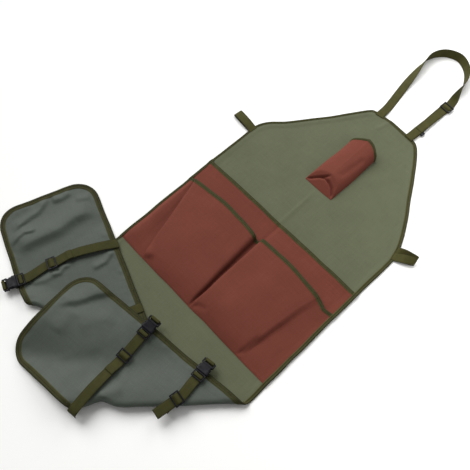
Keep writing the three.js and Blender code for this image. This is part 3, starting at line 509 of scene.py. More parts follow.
def leg_point(side, row, column):
    """Point of a leg, from its hem with the round corners up to the crotch."""
    top = HEM + HEM_RADIUS
    if row <= CORNER_ROWS:
        angle = math.pi / 2 * (1 - row / CORNER_ROWS)
        y = top - HEM_RADIUS * math.sin(angle)
        inset = HEM_RADIUS * (1 - math.cos(angle))
    else:
        y = lerp(top, CROTCH, (row - CORNER_ROWS) / (LEG_ROWS - CORNER_ROWS))
        inset = 0
    share = column / HALF_COLUMNS if side > 0 else 1 - column / HALF_COLUMNS
    x = side * lerp(HALF_SLIT + inset, HALF_WIDTH - inset, share)
    return lay(x, y), (x, y)


bm = bmesh.new()
loft(bm, BODY_ROWS + 1, 2 * HALF_COLUMNS + 2, body_point)
for side in (-1, 1):
    loft(bm, LEG_ROWS + 1, HALF_COLUMNS + 1, lambda row, column: leg_point(side, row, column))
bmesh.ops.remove_doubles(bm, verts=bm.verts, dist=WELD)
panel_cloth = piece(bm, "panel_cloth", "green_cloth", [GREEN_CLOTH, GREY_COATING], "main_panel")
thicken(panel_cloth, CLOTH, 1)

# Edge binding: olive woven tape folded over the panel's edge all round and sewn through both of its
# legs with one row of lockstitch. The leg on the coated side is the wider one.
TAPE = 0.7
TAPE_GAP = 0.05
TAPE_OUT = 1.1
TAPE_INNER = 0.2
PANEL_TAPE = dict(front=9.0, reverse=12.5)
STITCH_INSET = 5.4
OVER_TAPE = CLOTH / 2 + TAPE + 0.15
EDGE_STEP = 5.0
HEM_STEPS = 16
CROTCH_STEPS = 6
UP = Vector((0, 0, 1))
BAND_DYE = 18
BAND_STOPS = (0.3, 0.7)
RIB_HEIGHT = 0.3
BAND_ROUGHNESS = 0.8


def woven_band(name, colour, deep, rib, span, shades, back=1.0):
    """Woven band with ribs across it. The shades are stops from its edge inwards up to the span, and back is
    a painted shade on its back leg, for the dimmer light where that leg shows."""
    made, tree, inputs = new_material(name, BAND_ROUGHNESS, CLOTH_GLOSS)
    spot = add_node(tree, "ShaderNodeTexCoord", out="UV")
    dye = add_node(tree, "ShaderNodeTexNoise", {"Vector": spot, "Scale": 1 / (BAND_DYE * MM), "Detail": 5})
    mixed = ramp(tree, dye, list(zip(BAND_STOPS, (linear(deep), linear(colour)))))
    across = add_node(tree, "ShaderNodeSeparateXYZ", {"Vector": spot}, "Y")
    inwards = add_node(tree, "ShaderNodeMath", {0: across, 1: span * MM}, operation="PINGPONG")
    share = add_node(tree, "ShaderNodeMath", {0: inwards, 1: span * MM}, operation="DIVIDE")
    # Shades across the band: on the tape they are painted shade at the fold and stitch line and a painted
    # highlight at the inner edge
    painted_light_and_tone = ramp(tree, share, [(place / span, (shade, shade, shade, 1)) for place, shade in shades])
    # Painted shade on the back leg, where the band's V is negative
    behind = add_node(tree, "ShaderNodeMath", {0: across, 1: 0.0}, operation="LESS_THAN")
    legs = ramp(tree, behind, [(0, (1, 1, 1, 1)), (1, (back, back, back, 1))])
    for shade in (painted_light_and_tone, legs):
        mixed = add_node(tree, "ShaderNodeMix", {"Factor": 1.0, 6: mixed, 7: shade}, 2, data_type="RGBA",
                         blend_type="MULTIPLY")
    tree.links.new(mixed, inputs["Base Color"])
    ribs = weave(tree, spot, rib, 2 * rib)
    bump = add_node(tree, "ShaderNodeBump", {"Height": ribs, "Distance": RIB_HEIGHT * MM})
    tree.links.new(bump, inputs["Normal"])
    return made


# Woven tape: painted shade at its fold and where the stitches draw it in, and a painted highlight
# at its inner edge.
# Sewing thread: twisted, a little darker at one side
TAPE_SPAN = 12.0
TAPE_FLAT = 6.5
LEAST_REST = 0.5
TAPE_PAINTED_LIGHT = [
    (0, 0.36), (1.6, 0.42), (3.0, 0.66), (4.4, 0.62), (5.2, 0.26), (6.0, 0.32), (7.2, 0.64), (9.8, 0.66),
    (10.7, 0.7), (11.3, 1), (TAPE_SPAN, 0.95),
]
TWIST = dict(rib=0.6, span=1, shades=[(0, 0.9), (1, 1)])
# back=0.7 darkens the tape's back leg, which shows on the folded legs: painted shade
OLIVE_TAPE = woven_band("olive_tape", "#565630", "#4b4b28", 1.4, TAPE_SPAN, TAPE_PAINTED_LIGHT, back=0.7)
OLIVE_THREAD = woven_band("olive_thread", "#5a5632", "#4c4828", **TWIST)


def tape_leg(width, sign):
    """Section of one leg of the tape, from its inner edge to the fold: way inside the edge, height."""
    near = CLOTH / 2 + TAPE_GAP
    far = near + TAPE
    seam = STITCH_INSET
    leg = [
        (width, near), (width + 0.3, near + 0.4), (width - 0.5, far + 0.25), ((width + seam) / 2, far + 0.4),
        (seam + 0.9, far), (seam, far - 0.2), (seam - 0.9, far), (seam / 2, far + 0.8), (0.8, far + 0.6),
        (-0.6, 1.1),
    ]
    return [(inside, sign * height) for inside, height in leg]


def tape(name, node, count, at, front, reverse):
    """Folded tape along an edge. at gives the point for a station, a way inside the edge and a height."""
    front_leg, back_leg = tape_leg(front, 1), tape_leg(reverse, -1)
    inner = [(TAPE_INNER, back_leg[0][1]), (TAPE_INNER, front_leg[0][1])]
    section = [*front_leg, (-TAPE_OUT, 0), *back_leg[::-1], *inner, front_leg[0]]

    def place(row, column):
        inside, height = section[column]
        width, sign = (front, 1) if height > 0 else (reverse, -1)
        past = max(inside - TAPE_FLAT, 0) * (TAPE_SPAN - TAPE_FLAT) / max(width - TAPE_FLAT, LEAST_REST)
        across = max(min(inside, TAPE_FLAT) + past, 0)
        return at(row, inside, height), (EDGE_STEP * row, sign * min(across, TAPE_SPAN))

    bm = bmesh.new()
    loft(bm, count, len(section), place)
    bmesh.ops.remove_doubles(bm, verts=bm.verts, dist=WELD)
    loose = [edge for edge in bm.edges if edge.is_boundary]
    if loose:
        bmesh.ops.holes_fill(bm, edges=loose)
    bmesh.ops.recalc_face_normals(bm, faces=bm.faces)
    return piece(bm, name, "olive_tape", [OLIVE_TAPE], node)


STITCH = 3.6
THREAD_RADIUS = 0.3
THREAD_SIDES = 5
THREAD_SIDE = 0.4
# One stitch: the thread leaves the cloth, lies on it and goes back in. Heights over the surface
STITCH_HEIGHTS = [-0.45, 0.12, 0.2, 0.12]


def resampled(rail, step):
    """Points and normals along a rail, an even way apart."""
    points = []
    done = 0.0
    for (start, normal), (end, next_normal) in zip(rail, rail[1:]):
        length = (end - start).length
        while done <= length:
            share = done / length
            points.append((start.lerp(end, share), normal.lerp(next_normal, share).normalized()))
            done += step
        done -= length
    return points


def stitches(bm, rail):
    """Row of lockstitch along a rail of points and normals: a thread that dips into the cloth."""
    step = STITCH / len(STITCH_HEIGHTS)
    path = resampled(rail, step)

    def place(row, column):
        point, normal = path[row]
        before, after = around(path, row)
        across = (after[0] - before[0]).cross(normal).normalized()
        turn = 2 * math.pi * column / THREAD_SIDES
        centre = point + normal * STITCH_HEIGHTS[row % len(STITCH_HEIGHTS)]
        spot = centre + (across * math.cos(turn) + normal * math.sin(turn)) * THREAD_RADIUS
        return spot, (row * step, column * THREAD_SIDE)

    made = loft(bm, len(path), THREAD_SIDES + 1, place)
    bmesh.ops.remove_doubles(bm, verts=made, dist=WELD)


def stitching(name, slot, finish, rails):
    bm = bmesh.new()
    for rail in rails:
        stitches(bm, rail)
    return piece(bm, name, slot, [finish])


def line(start, end):
    """Points from start up to, but not with, end."""
    count = max(1, round(math.dist(start, end) / EDGE_STEP))
    return [Vector(start).lerp(Vector(end), i / count) for i in range(count)]


def arc(centre, radius, start, end, count):
    """Points on an arc between two angles in degrees."""
    angles = [math.radians(lerp(start, end, i / count)) for i in range(count)]
    return [Vector((centre[0] + radius * math.cos(a), centre[1] + radius * math.sin(a))) for a in angles]


def hem(right, left):
    """Round hem of a leg, from its right to its left side."""
    top, right, left = HEM + HEM_RADIUS, right - HEM_RADIUS, left + HEM_RADIUS
    return [
        *arc((right, top), HEM_RADIUS, 0, -90, HEM_STEPS),
        *line((right, HEM), (left, HEM)),
        *arc((left, top), HEM_RADIUS, -90, -180, HEM_STEPS),
    ]


def panel_edge():
    """Edge of the flat panel, clockwise from the left leg's hem, with the direction into the cloth."""
    top = HEM + HEM_RADIUS
    chain = [
        *line((-HALF_WIDTH, top), (-HALF_WIDTH, BIB_FOOT)),
        *LEFT_RAIL[:0:-1],
        *line(LEFT_RAIL[0], RIGHT_RAIL[0]),
        *RIGHT_RAIL[:-1],
        *line((HALF_WIDTH, BIB_FOOT), (HALF_WIDTH, top)),
        *hem(HALF_WIDTH, HALF_SLIT),
        *line((HALF_SLIT, top), (HALF_SLIT, CROTCH)),
        *arc((0, CROTCH), HALF_SLIT, 0, 180, CROTCH_STEPS),
        *line((-HALF_SLIT, CROTCH), (-HALF_SLIT, top)),
        *hem(-HALF_SLIT, -HALF_WIDTH),
    ]
    stations = []
    for i, point in enumerate(chain):
        ahead = chain[(i + 1) % len(chain)] - chain[i - 1]
        stations.append((point, Vector((ahead.y, -ahead.x)).normalized()))
    return stations


PANEL_EDGE = panel_edge()
# How wide the tape lies, as a share of its full width. It is folded off its middle along the left side, and
# turned in at the crotch
FULL_SHARE = 1.02
LEFT_SHARE = 0.62
CROTCH_SHARE = 0.3
CROTCH_REACH = 40
LEFT_UP_TO = (-90, 50)
LEFT_ABOVE = (-420, -350)


def tape_share(edge):
    """How wide the tape lies at a place of the edge."""
    close = smooth(0, CROTCH_REACH, (edge - Vector((0, CROTCH))).length)
    left = (1 - smooth(*LEFT_UP_TO, edge.x)) * smooth(*LEFT_ABOVE, edge.y)
    return lerp(CROTCH_SHARE, lerp(FULL_SHARE, LEFT_SHARE, left), close)


# The tape's front half lies over the side edges of both red pockets, and higher over their bound mouths.
# The mouths' heights are those at the left and the right side
POCKET_STACK = 1.9
POCKET_FROM = (-327, -317)
POCKET_TO = (0, 9)
MOUTH_STACK = 1.5
MOUTH_SPREAD = 8
MOUTHS = {-1: (-4, -76.5), 1: (-4, -81.5)}


def tape_lift(edge, height):
    """How far the pockets' cloth lifts the tape at a place of the edge."""
    if abs(edge.x) < HALF_WIDTH - 1:
        return 0
    lift = POCKET_STACK * smooth(*POCKET_FROM, edge.y) * (1 - smooth(*POCKET_TO, edge.y))
    for mouth in MOUTHS[math.copysign(1, edge.x)]:
        lift += MOUTH_STACK * math.exp(-(((edge.y - mouth) / MOUTH_SPREAD) ** 4))
    return lift * smooth(-CLOTH / 2, CLOTH / 2, height)


def panel_tape_point(row, inside, height):
    edge, inward = PANEL_EDGE[row % len(PANEL_EDGE)]
    x, y = edge + inward * inside * (tape_share(edge) if inside > 0 else 1)
    return lay(x, y) + lay_normal(x, y) * height + UP * tape_lift(edge, height)


def panel_rail(side):
    """Rail of the stitches on the front, side 1, or on the back, side -1."""
    rail = []
    for edge, inward in PANEL_EDGE + PANEL_EDGE[:1]:
        x, y = edge + inward * STITCH_INSET * tape_share(edge)
        normal = lay_normal(x, y) * side
        rail.append((lay(x, y) + normal * OVER_TAPE + UP * tape_lift(edge, side), normal))
    return rail


panel_tape = tape("panel_tape", "edge_binding", len(PANEL_EDGE) + 1, panel_tape_point, **PANEL_TAPE)
panel_stitching = stitching("panel_stitching", "olive_tape", OLIVE_THREAD, [panel_rail(-1), panel_rail(1)])

# Rear pocket: one flat piece of red cloth across the body, sewn on at the sides, at the bottom and down
# the centre. Its top edge is bound with the same tape. Each half stands a little off the body.
POCKET_CLOTH = 0.9
LEFT_SEAM = -262.0
RIGHT_SEAM = 257.0
REAR_BOTTOM = -315.0
REAR_BASE = 2.0
REAR_TUCK = 0.45
REAR_MOUTH_RISE = 1.2
REAR_PUFF = 4.0
REAR_PUFF_POWER = 0.7
REAR_OPEN = (-90, -8)
REAR_SEAM = 1.6
REAR_SEAM_HALF = 4
REAR_SEAM_INSET = 40
REAR_SEAM_OPEN = (-88, -66)
BOTTOM_SINK = 0.5
BOTTOM_REACH = 30
REAR_ROWS = 60
REAR_COLUMNS = 128
MOUTH_TAPE = dict(front=9.0, reverse=7.0)
RED_CLOTH = woven_cloth("red_polyester", "#6e382c", "#663327", roughness=0.85, crumple=0.6)


def rear_point(x, y):
    """Point of the rear pocket, raised over the panel's bound edges and at its own bound mouth."""
    side = (EDGE_LIE - LIE - REAR_TUCK) * edge_rise(HALF_WIDTH - abs(x))
    mouth = REAR_MOUTH_RISE * edge_rise(-y)
    across = math.sin(math.pi * min(x / (LEFT_SEAM if x < 0 else RIGHT_SEAM), 1))
    puff = REAR_PUFF * across ** REAR_PUFF_POWER * smooth(*REAR_OPEN, y)
    sewn = 1 - math.exp(-((x / REAR_SEAM_HALF) ** 2))
    free = smooth(0, REAR_SEAM_INSET, min(x - LEFT_SEAM, RIGHT_SEAM - x)) * smooth(*REAR_SEAM_OPEN, y)
    sunk = BOTTOM_SINK * (1 - smooth(REAR_BOTTOM, REAR_BOTTOM + BOTTOM_REACH, y))
    return Vector((x, y, REAR_BASE + side + mouth + puff + REAR_SEAM * sewn * free - sunk)) + drift(x, y)


def rear_x(column):
    return lerp(LEFT_SEAM, RIGHT_SEAM, column / REAR_COLUMNS)


def rear_grid(row, column):
    x, y = rear_x(column), lerp(REAR_BOTTOM, 0, row / REAR_ROWS)
    return rear_point(x, y), (x, y)


def rear_mouth(row, inside, height):
    """Point on the mouth for its tape, a way inside the edge and at a height."""
    x = rear_x(row)
    across = rear_point(x + 1, -inside) - rear_point(x - 1, -inside)
    along = rear_point(x, -inside + 1) - rear_point(x, -inside - 1)
    return rear_point(x, -inside) + across.cross(along).normalized() * height


def pocket(node, rows, columns, grid, mouth, legs):
    """Cloth and mouth tape of a pocket. grid and mouth give their points."""
    bm = bmesh.new()
    loft(bm, rows + 1, columns, grid)
    cloth = piece(bm, node + "_cloth", "red_cloth", [RED_CLOTH], node)
    thicken(cloth, POCKET_CLOTH)
    return cloth, tape(node + "_tape", node + "_binding", columns, mouth, **legs)


rear_cloth, rear_tape = pocket("rear_pocket", REAR_ROWS, REAR_COLUMNS + 1, rear_grid, rear_mouth, MOUTH_TAPE)
rear_rail = [(rear_mouth(row, STITCH_INSET, OVER_TAPE), UP) for row in range(REAR_COLUMNS + 1)]
rear_stitching = stitching("rear_pocket_stitching", "olive_tape", OLIVE_THREAD, [rear_rail])

# Front pocket: red cloth wider than the body, gathered into two puffed pockets by a pleat at each side
# and one seam down the centre. Its mouth is bound with tape, its sides lie under the edge binding.
FRONT_LENGTH = 249.0
FRONT_BOTTOM = -319.0
FRONT_BASE = 3.2
FRONT_TUCK = 0.75
FRONT_ROWS = 64
FRONT_STEPS = 6
FRONT_UNEVEN = (1.3, 60, 3.5)
# The cloth from left to right, crease by crease. Columns: place at the mouth, mouth's height up the body,
# place at the bottom, height at the mouth and at the belly
FRONT_STRIPS = [
    [(LEFT_SEAM, -74, LEFT_SEAM, 0.6, 0), (-258.5, -73.8, -258, 0.8, 0.3), (-255, -73.5, -251, 4.4, 6),
     (-250.5, -73, -240, 5.6, 9.5), (-245, -73, -221, 5, 7.5), (-240, -72.5, -200, 4, 3.5),
     (-234, -72, -174, 3, 1.5)],
    [(-247, -73, -178, 13.5, 10), (-240, -73, -174, 15.5, 12), (-190, -69, -150, 19.5, 15.5),
     (-125, -66, -105, 22.5, 17.5), (-75, -67, -66, 22, 17), (-46, -70, -36, 20.5, 15.5),
     (-29, -72, -13.5, 19, 14.5), (-22.5, -73.5, -8.5, 16.5, 12.5), (-18.5, -74.5, -6, 11.5, 8.5),
     (-15.5, -75.5, -4.5, 5.5, 4), (-12, -76, -3, 2.2, 1.2)],
    [(-11, -76, -2.5, 1.5, 0.2), (2, -76, 0, 1.4, 0.2), (9, -75.5, 2, 1.6, 0.3)],
    [(9.5, -75, 2.4, 2.5, 1.2), (9.5, -74, 3, 6.5, 4.5), (6, -72, 2, 12, 8.5), (1.5, -70.5, 0.6, 17, 12.3),
     (3.5, -69, 2.4, 20, 15), (16, -67.5, 13, 21, 16), (50, -66, 45, 21.5, 16.5), (110, -67, 95, 22.5, 18.5),
     (160, -70, 135, 20, 17), (188, -73, 158, 17.5, 15.5), (202, -75, 172, 15, 13.5)],
    [(206, -76, 176, 12.5, 10.5), (214, -78, 183, 10, 5), (224, -81, 194, 7.5, 3.6), (233, -84, 206, 5.5, 3),
     (245, -82, 229, 3, 1.8), (252, -80.5, 251, 0.9, 0.4), (RIGHT_SEAM, -80, RIGHT_SEAM, 0.6, 0)],
]
FRONT_ACROSS = [point for strip in FRONT_STRIPS for point in spline(strip, FRONT_STEPS)]
# Tucks where the pleats are sewn into the bottom seam. Rows: path, height, spread to its right and left
FRONT_TUCKS = wrinkles([
    ([(-160, -290), (-177, -308), (-204, -336)], 4.6, 21, 7),
    ([(-2, -330), (14, -300), (40, -292)], -2, 8, 5),
    ([(165, -330), (172, -296), (176, -240)], -3, 12, 6),
    ([(-160, -250), (-120, -190), (-90, -120)], 1.6, 40, 30),
    ([(60, -290), (80, -210), (70, -120)], 1.6, 36, 26),
])
# Share of the way down where a pocket's belly is, and how it rounds off below it
BELLY = 0.55
BELLY_POWER = 2.7
# The cloth wrinkles freely where it stands this far off
FREE = 5
# The last stretch is drawn down to the bottom seam, and its raw edge further
DRAWN_FROM = 0.88
DRAWN_TO = 0.985
RAW_SINK = 0.65


def pocket_height(mouth, belly, share):
    """Height of a puffed pocket from its mouth, at share 0, to its bottom seam, at share 1."""
    if share < BELLY:
        return lerp(mouth, belly, share / BELLY)
    return belly * (1 - ((share - BELLY) / (1 - BELLY)) ** BELLY_POWER)


def front_point(column, share):
    mouth_x, mouth_y, bottom_x, mouth_z, belly_z = FRONT_ACROSS[column]
    inside = min(max(share, 0), 1)
    drawn = share if mouth_x < 0 else 1 - (1 - share) ** 2
    x = lerp(mouth_x, bottom_x, drawn)
    y = lerp(mouth_y, FRONT_BOTTOM, share)
    side = (EDGE_LIE - LIE - FRONT_TUCK) * edge_rise(HALF_WIDTH - abs(x))
    puff = pocket_height(mouth_z, belly_z, inside)
    uneven = ripple(x, y, FRONT_UNEVEN) * math.sin(math.pi * inside) + FRONT_TUCKS(x, y)
    sunk = 2 * BOTTOM_SINK * smooth(DRAWN_FROM, DRAWN_TO, inside) + RAW_SINK * smooth(DRAWN_TO, 1, inside)
    return Vector((x, y, FRONT_BASE + side + puff + uneven * smooth(0, FREE, puff) - sunk)) + drift(x, y)


MEASURED_AT = 0.3


def puffed_pocket(node, point, columns, rows, length, cut, step, legs):
    """Cloth and tape of a puffed pocket, and the places on its mouth. length is the way from mouth to bottom,
    cut that of the flat cloth, whose width is measured a little below the mouth."""
    run = [0.0]
    for column in range(1, columns):
        ahead = point(column, MEASURED_AT) - point(column - 1, MEASURED_AT)
        run.append(run[-1] + ahead.length)

    def grid(row, column):
        share = 1 - row / rows
        return point(column, share), (run[column], -share * cut)

    def mouth(column, inside, height):
        share = inside / length
        across = point(min(column + 1, columns - 1), share) - point(max(column - 1, 0), share)
        along = point(column, share - step) - point(column, share + step)
        return point(column, share) + across.cross(along).normalized() * height

    return *pocket(node, rows, columns, grid, mouth, legs), mouth


front_cloth, front_tape, front_mouth = puffed_pocket(
    "front_pocket", front_point, len(FRONT_ACROSS), FRONT_ROWS, length=FRONT_LENGTH, cut=FRONT_LENGTH,
    step=0.004, legs=MOUTH_TAPE)
front_rails = []
sewn = 0
for strip in FRONT_STRIPS:
    columns = range(sewn, sewn + (len(strip) - 1) * FRONT_STEPS + 1)
    sewn = columns.stop
    front_rails.append([(front_mouth(column, STITCH_INSET, OVER_TAPE), UP) for column in columns])
front_stitching = stitching("front_pocket_stitching", "olive_tape", OLIVE_THREAD, front_rails)

# Seams of both pockets in red thread: along the bottom, and down the centre of the rear pocket where it
# shows above the front one
RED_THREAD = woven_band("red_thread", "#7d4739", "#6d3c30", **TWIST)
SEAM_SHARE = 0.982
OVER_CLOTH = UP * (POCKET_CLOTH / 2 + 0.1)
CENTRE_SEAM = range(-72, -9, 3)
bottom_seam = []
for column in range(len(FRONT_ACROSS)):
    point = front_point(column, SEAM_SHARE) + OVER_CLOTH
    if not bottom_seam or point.x > bottom_seam[-1][0].x:
        bottom_seam.append((point, UP))
centre_seam = [(rear_point(0, y) + OVER_CLOTH, UP) for y in CENTRE_SEAM]
seam_stitching = stitching("pocket_seam_stitching", "red_cloth", RED_THREAD, [bottom_seam, centre_seam])

# Bib pocket: red cloth puffed out like a half tube, folded down at the bottom end like the end of a
# parcel and sewn to the bib round three sides. Its mouth is bound with tape.
BIB_POCKET_BOTTOM = 146.0
BIB_LENGTH = 190.0
BIB_CUT = 195.0
BIB_BASE = 2.0
BIB_ROWS = 110
BIB_STEPS = 8
BIB_POCKET_TAPE = dict(front=7.5, reverse=6.5)
# A flat left side up to the ridge, then a round right side. Columns: place at the mouth, mouth's height
# up the bib, place at the bottom, height at the mouth and at the belly
BIB_STRIPS = [
    [(-46, 321, -51, 1.6, 0), (-43, 323, -47, 11.5, 9.5), (-36, 327, -40, 19, 16),
     (-20, 337, -22, 24.3, 20.5), (-6, 345, -7, 27, 22.5)],
    [(-5, 345, -6, 27.3, 22.8), (14, 340, 12, 26, 20.5), (29, 331, 26, 22, 15),
     (38, 325, 35.5, 14.5, 7.5), (42, 321, 40, 1.6, 0)],
]
BIB_ACROSS = [point for strip in BIB_STRIPS for point in spline(strip, BIB_STEPS)]
# The folded end slopes up from the bottom and meets the tube in a soft edge
END_SLOPE = 0.47
END_POWER = 0.99
END_EDGE = 1.0
# Tucks of the folded end and a dent in the round side. Rows: path, height, spread to its right and left
BIB_TUCKS = wrinkles([
    ([(-56, 141), (-36, 161), (-20, 176), (-2, 193)], -5.0, 3.2, 2.4),
    ([(-30, 168), (-12, 176), (2, 175), (19, 168), (30, 159), (42, 143)], -5.5, 2.4, 3.4),
    ([(11, 195), (18, 245), (26, 300)], -2.2, 8, 8),
])


def bib_point(column, share):
    mouth_x, mouth_y, bottom_x, mouth_z, belly_z = BIB_ACROSS[column]
    inside = min(max(share, 0), 1)
    x = lerp(mouth_x, bottom_x, share)
    y = lerp(mouth_y, BIB_POCKET_BOTTOM, share)
    tube = lerp(mouth_z, belly_z, min(inside / BELLY, 1))
    end = END_SLOPE * max(y - BIB_POCKET_BOTTOM, 0) ** END_POWER
    height = (tube + end - math.hypot(tube - end, END_EDGE)) / 2
    height += BIB_TUCKS(x, y) * smooth(0, FREE, height)
    return Vector((x, y, BIB_BASE + max(height, 0))) + drift(x, y)


bib_cloth, bib_tape = puffed_pocket(
    "bib_pocket", bib_point, len(BIB_ACROSS), BIB_ROWS, length=BIB_LENGTH, cut=BIB_CUT, step=0.005,
    legs=BIB_POCKET_TAPE)[:2]

# Neck strap: olive polypropylene webbing 25 mm wide, sewn under the binding at the bib's left corner.
# It turns on edge over the arch, runs through a slider and around a ring, and back into the slider.
WEB = 1.5
WEB_WIDTH = 25.0
GAP = 0.3
LAYER = WEB + GAP
NECK_LIE = 0.95
ROOT_LIE = 3.9
FLOOR_GAP = 0.2
WEB_STEPS = 3
# Polypropylene webbing: ribbed, darker at the selvedges
WEB_SHADES = [(0, 0.6), (1.2, 0.7), (2.4, 1), (WEB_WIDTH / 2, 1)]
WEB_WEAVE = dict(rib=1.9, span=WEB_WIDTH / 2, shades=WEB_SHADES)
OLIVE_WEBBING = woven_band("olive_webbing", "#45431f", "#3a3917", **WEB_WEAVE)
# Columns: place, and turn about the run in degrees
NECK_ROUTE = [
    (-46, 438, 0), (-47, 447.2, 0), (-48, 475, 0), (-55, 520, 0), (-64, 572, 10), (-71, 620, 35),
    (-77, 664, 68), (-76, 702, 96), (-55, 739, 116), (-14, 757, 122), (27, 737, 118), (50, 701, 104),
    (60, 662, 66), (65, 632, 20),
]
ROUTE_STEPS = 2
# The strap comes down from the binding to the floor between these stations
ROOT_STATIONS = (2, 5)
NECK_SLIDER = (67, 597)
NECK_RING = (60, 480)
NECK_TAB_ROOT = (58, 447.2)
SLIDER_THICK = 2.6
RING_THICK = 3.2
RING_SLOT = 2.0
SLIDER_MID = LAYER + WEB / 2 + GAP + SLIDER_THICK / 2
OVER_BAR = SLIDER_MID + SLIDER_THICK / 2 + GAP + WEB / 2
CORNER = GAP + WEB / 2 + 0.05
RING_MID = RING_THICK / 2 + CORNER
# Runs of webbing through a slider and past a ring's bar. Columns: way along the strap, height
SLIDER_RUN = [(-14, LAYER), (-8.4, LAYER), (-2.6, OVER_BAR), (2.6, OVER_BAR), (8.4, LAYER), (14, LAYER)]
TO_RING = [(-22, RING_MID), (-8, RING_MID)]
FROM_RING = [(-8, -RING_MID)]
RETURN = [(14, 0), (-12, 0)]
RING_ASIDE = 3.2
RETURN_ASIDE = 3.5


def mounted(at, along, off):
    """Frame on a strap: where it is, which way the strap runs, across it and off its face."""
    return dict(at=at, along=along, off=off, across=along.cross(off))


def floor_frame(start, end, height):
    along = Vector((end[0] - start[0], end[1] - start[1], 0)).normalized()
    return mounted(Vector((*start, height)), along, UP)


def station(frame):
    return frame["at"], frame["across"], frame["off"]


def path_stations(frame, path):
    """Stations of webbing along a path in a frame, its face kept square to the path."""
    stations = []
    for i, (y, z) in enumerate(path):
        (y0, z0), (y1, z1) = around(path, i)
        length = math.hypot(y1 - y0, z1 - z0)
        at = frame["at"] + frame["along"] * y + frame["off"] * z
        off = frame["off"] * ((y1 - y0) / length) + frame["along"] * ((z0 - z1) / length)
        stations.append((at, frame["across"], off))
    return stations


def bar_turn(edge, half_thick, way):
    """Path of webbing around the inner side of a bar: from above it, through the slot, to below it."""
    diagonal = CORNER * math.sqrt(0.5)
    upper = [
        (edge, half_thick + CORNER),
        (edge - way * diagonal, half_thick + diagonal),
        (edge - way * CORNER, half_thick),
    ]
    return upper + [(y, -z) for y, z in upper[::-1]]


# Section of the webbing in halves of its width and thickness, with soft selvedges: its back, then its face
WEB_BACK = [(-1, 0), (-0.985, -0.6), (-0.93, -0.95), (-0.5, -1), (0.5, -1), (0.93, -0.95), (0.985, -0.6)]
WEB_SECTION = [*WEB_BACK, *((-aside, -out) for aside, out in WEB_BACK), WEB_BACK[0]]


def webbing(name, node, finish, stations):
    """Webbing along stations of place, direction across it and direction off its face."""
    path = spline([(*at, *across, *off) for at, across, off in stations], WEB_STEPS)
    run = [0.0]
    for start, end in zip(path, path[1:]):
        run.append(run[-1] + (Vector(end[:3]) - Vector(start[:3])).length)

    def place(row, column):
        at, across, off = (Vector(path[row][i:i + 3]) for i in (0, 3, 6))
        aside, out = WEB_SECTION[column]
        aside, out = aside * WEB_WIDTH / 2, out * WEB / 2
        spot = (run[row], (aside + WEB_WIDTH / 2) * (1 if out > 0 else -1))
        return at + across.normalized() * aside + off.normalized() * out, spot

    bm = bmesh.new()
    loft(bm, len(path), len(WEB_SECTION), place)
    bmesh.ops.remove_doubles(bm, verts=bm.verts, dist=WELD)
    bmesh.ops.holes_fill(bm, edges=[edge for edge in bm.edges if edge.is_boundary])
    bmesh.ops.recalc_face_normals(bm, faces=bm.faces)
    piece(bm, name, "olive_webbing", [finish], node)


def neck_stations():
    """Stations of the neck strap, on its edge where the route turns it."""
    stations = []
    route = spline(NECK_ROUTE, ROUTE_STEPS)
    for i, (x, y, turn) in enumerate(route):
        before, after = around(route, i)
        outside = Vector((before.y - after.y, after.x - before.x, 0)).normalized()
        angle = math.radians(max(turn, 0))
        rise = WEB_WIDTH / 2 * math.sin(angle) + WEB / 2 * abs(math.cos(angle)) + FLOOR_GAP
        start = lerp(ROOT_LIE, rise, smooth(*ROOT_STATIONS, i))
        across = -outside * math.cos(angle) + UP * math.sin(angle)
        off = outside * math.sin(angle) + UP * math.cos(angle)
        stations.append((Vector((x, y, max(start, rise))), across, off))
    slider = floor_frame(NECK_SLIDER, NECK_RING, NECK_LIE)
    ring = dict(slider, at=Vector((*NECK_RING, NECK_LIE + RING_MID)))
    aside = dict(slider, at=slider["at"] + slider["across"] * RETURN_ASIDE)
    turn = bar_turn(-RING_SLOT, RING_THICK / 2, -1)
    stations += path_stations(slider, SLIDER_RUN)
    stations += path_stations(ring, [*TO_RING, *turn, *FROM_RING])
    return stations + path_stations(aside, RETURN)


webbing("neck_webbing", "neck_strap", OLIVE_WEBBING, neck_stations())

# Neck tab: a short length of the same webbing around the ring's lower bar, both ends sewn under the
# binding at the bib's right corner
tab_length = math.dist(NECK_RING, NECK_TAB_ROOT)
tab_root = ROOT_LIE - NECK_LIE - RING_MID
# Columns: way from the ring along the tab, height over the ring's middle
TAB_PATH = [
    (tab_length + 9, tab_root),
    (tab_length, tab_root),
    (tab_length - 9, -RING_MID),
    (8, -RING_MID),
    *bar_turn(RING_SLOT, RING_THICK / 2, 1)[::-1],
    (8, RING_MID),
    (16, RING_MID - 0.6),
    (tab_length, tab_root + LAYER),
    (tab_length + 7, tab_root + LAYER),
]
tab_frame = floor_frame(NECK_RING, NECK_TAB_ROOT, NECK_LIE + RING_MID)
webbing("neck_tab_webbing", "neck_tab", OLIVE_WEBBING, path_stations(tab_frame, TAB_PATH))

# Slider and ring: moulded black acetal, satin from the mould with a fine grain, and every edge rounded so
# that the webbing slides
ACETAL_IOR = 1.48
ACETAL_GLOSS = 0.14
SATIN = (0.38, 0.52)
GRAIN = 1.2
GRAIN_HEIGHT = 0.03
ROUND_STEPS = 3
CELL_NEAR = 0.01
BENT = 1
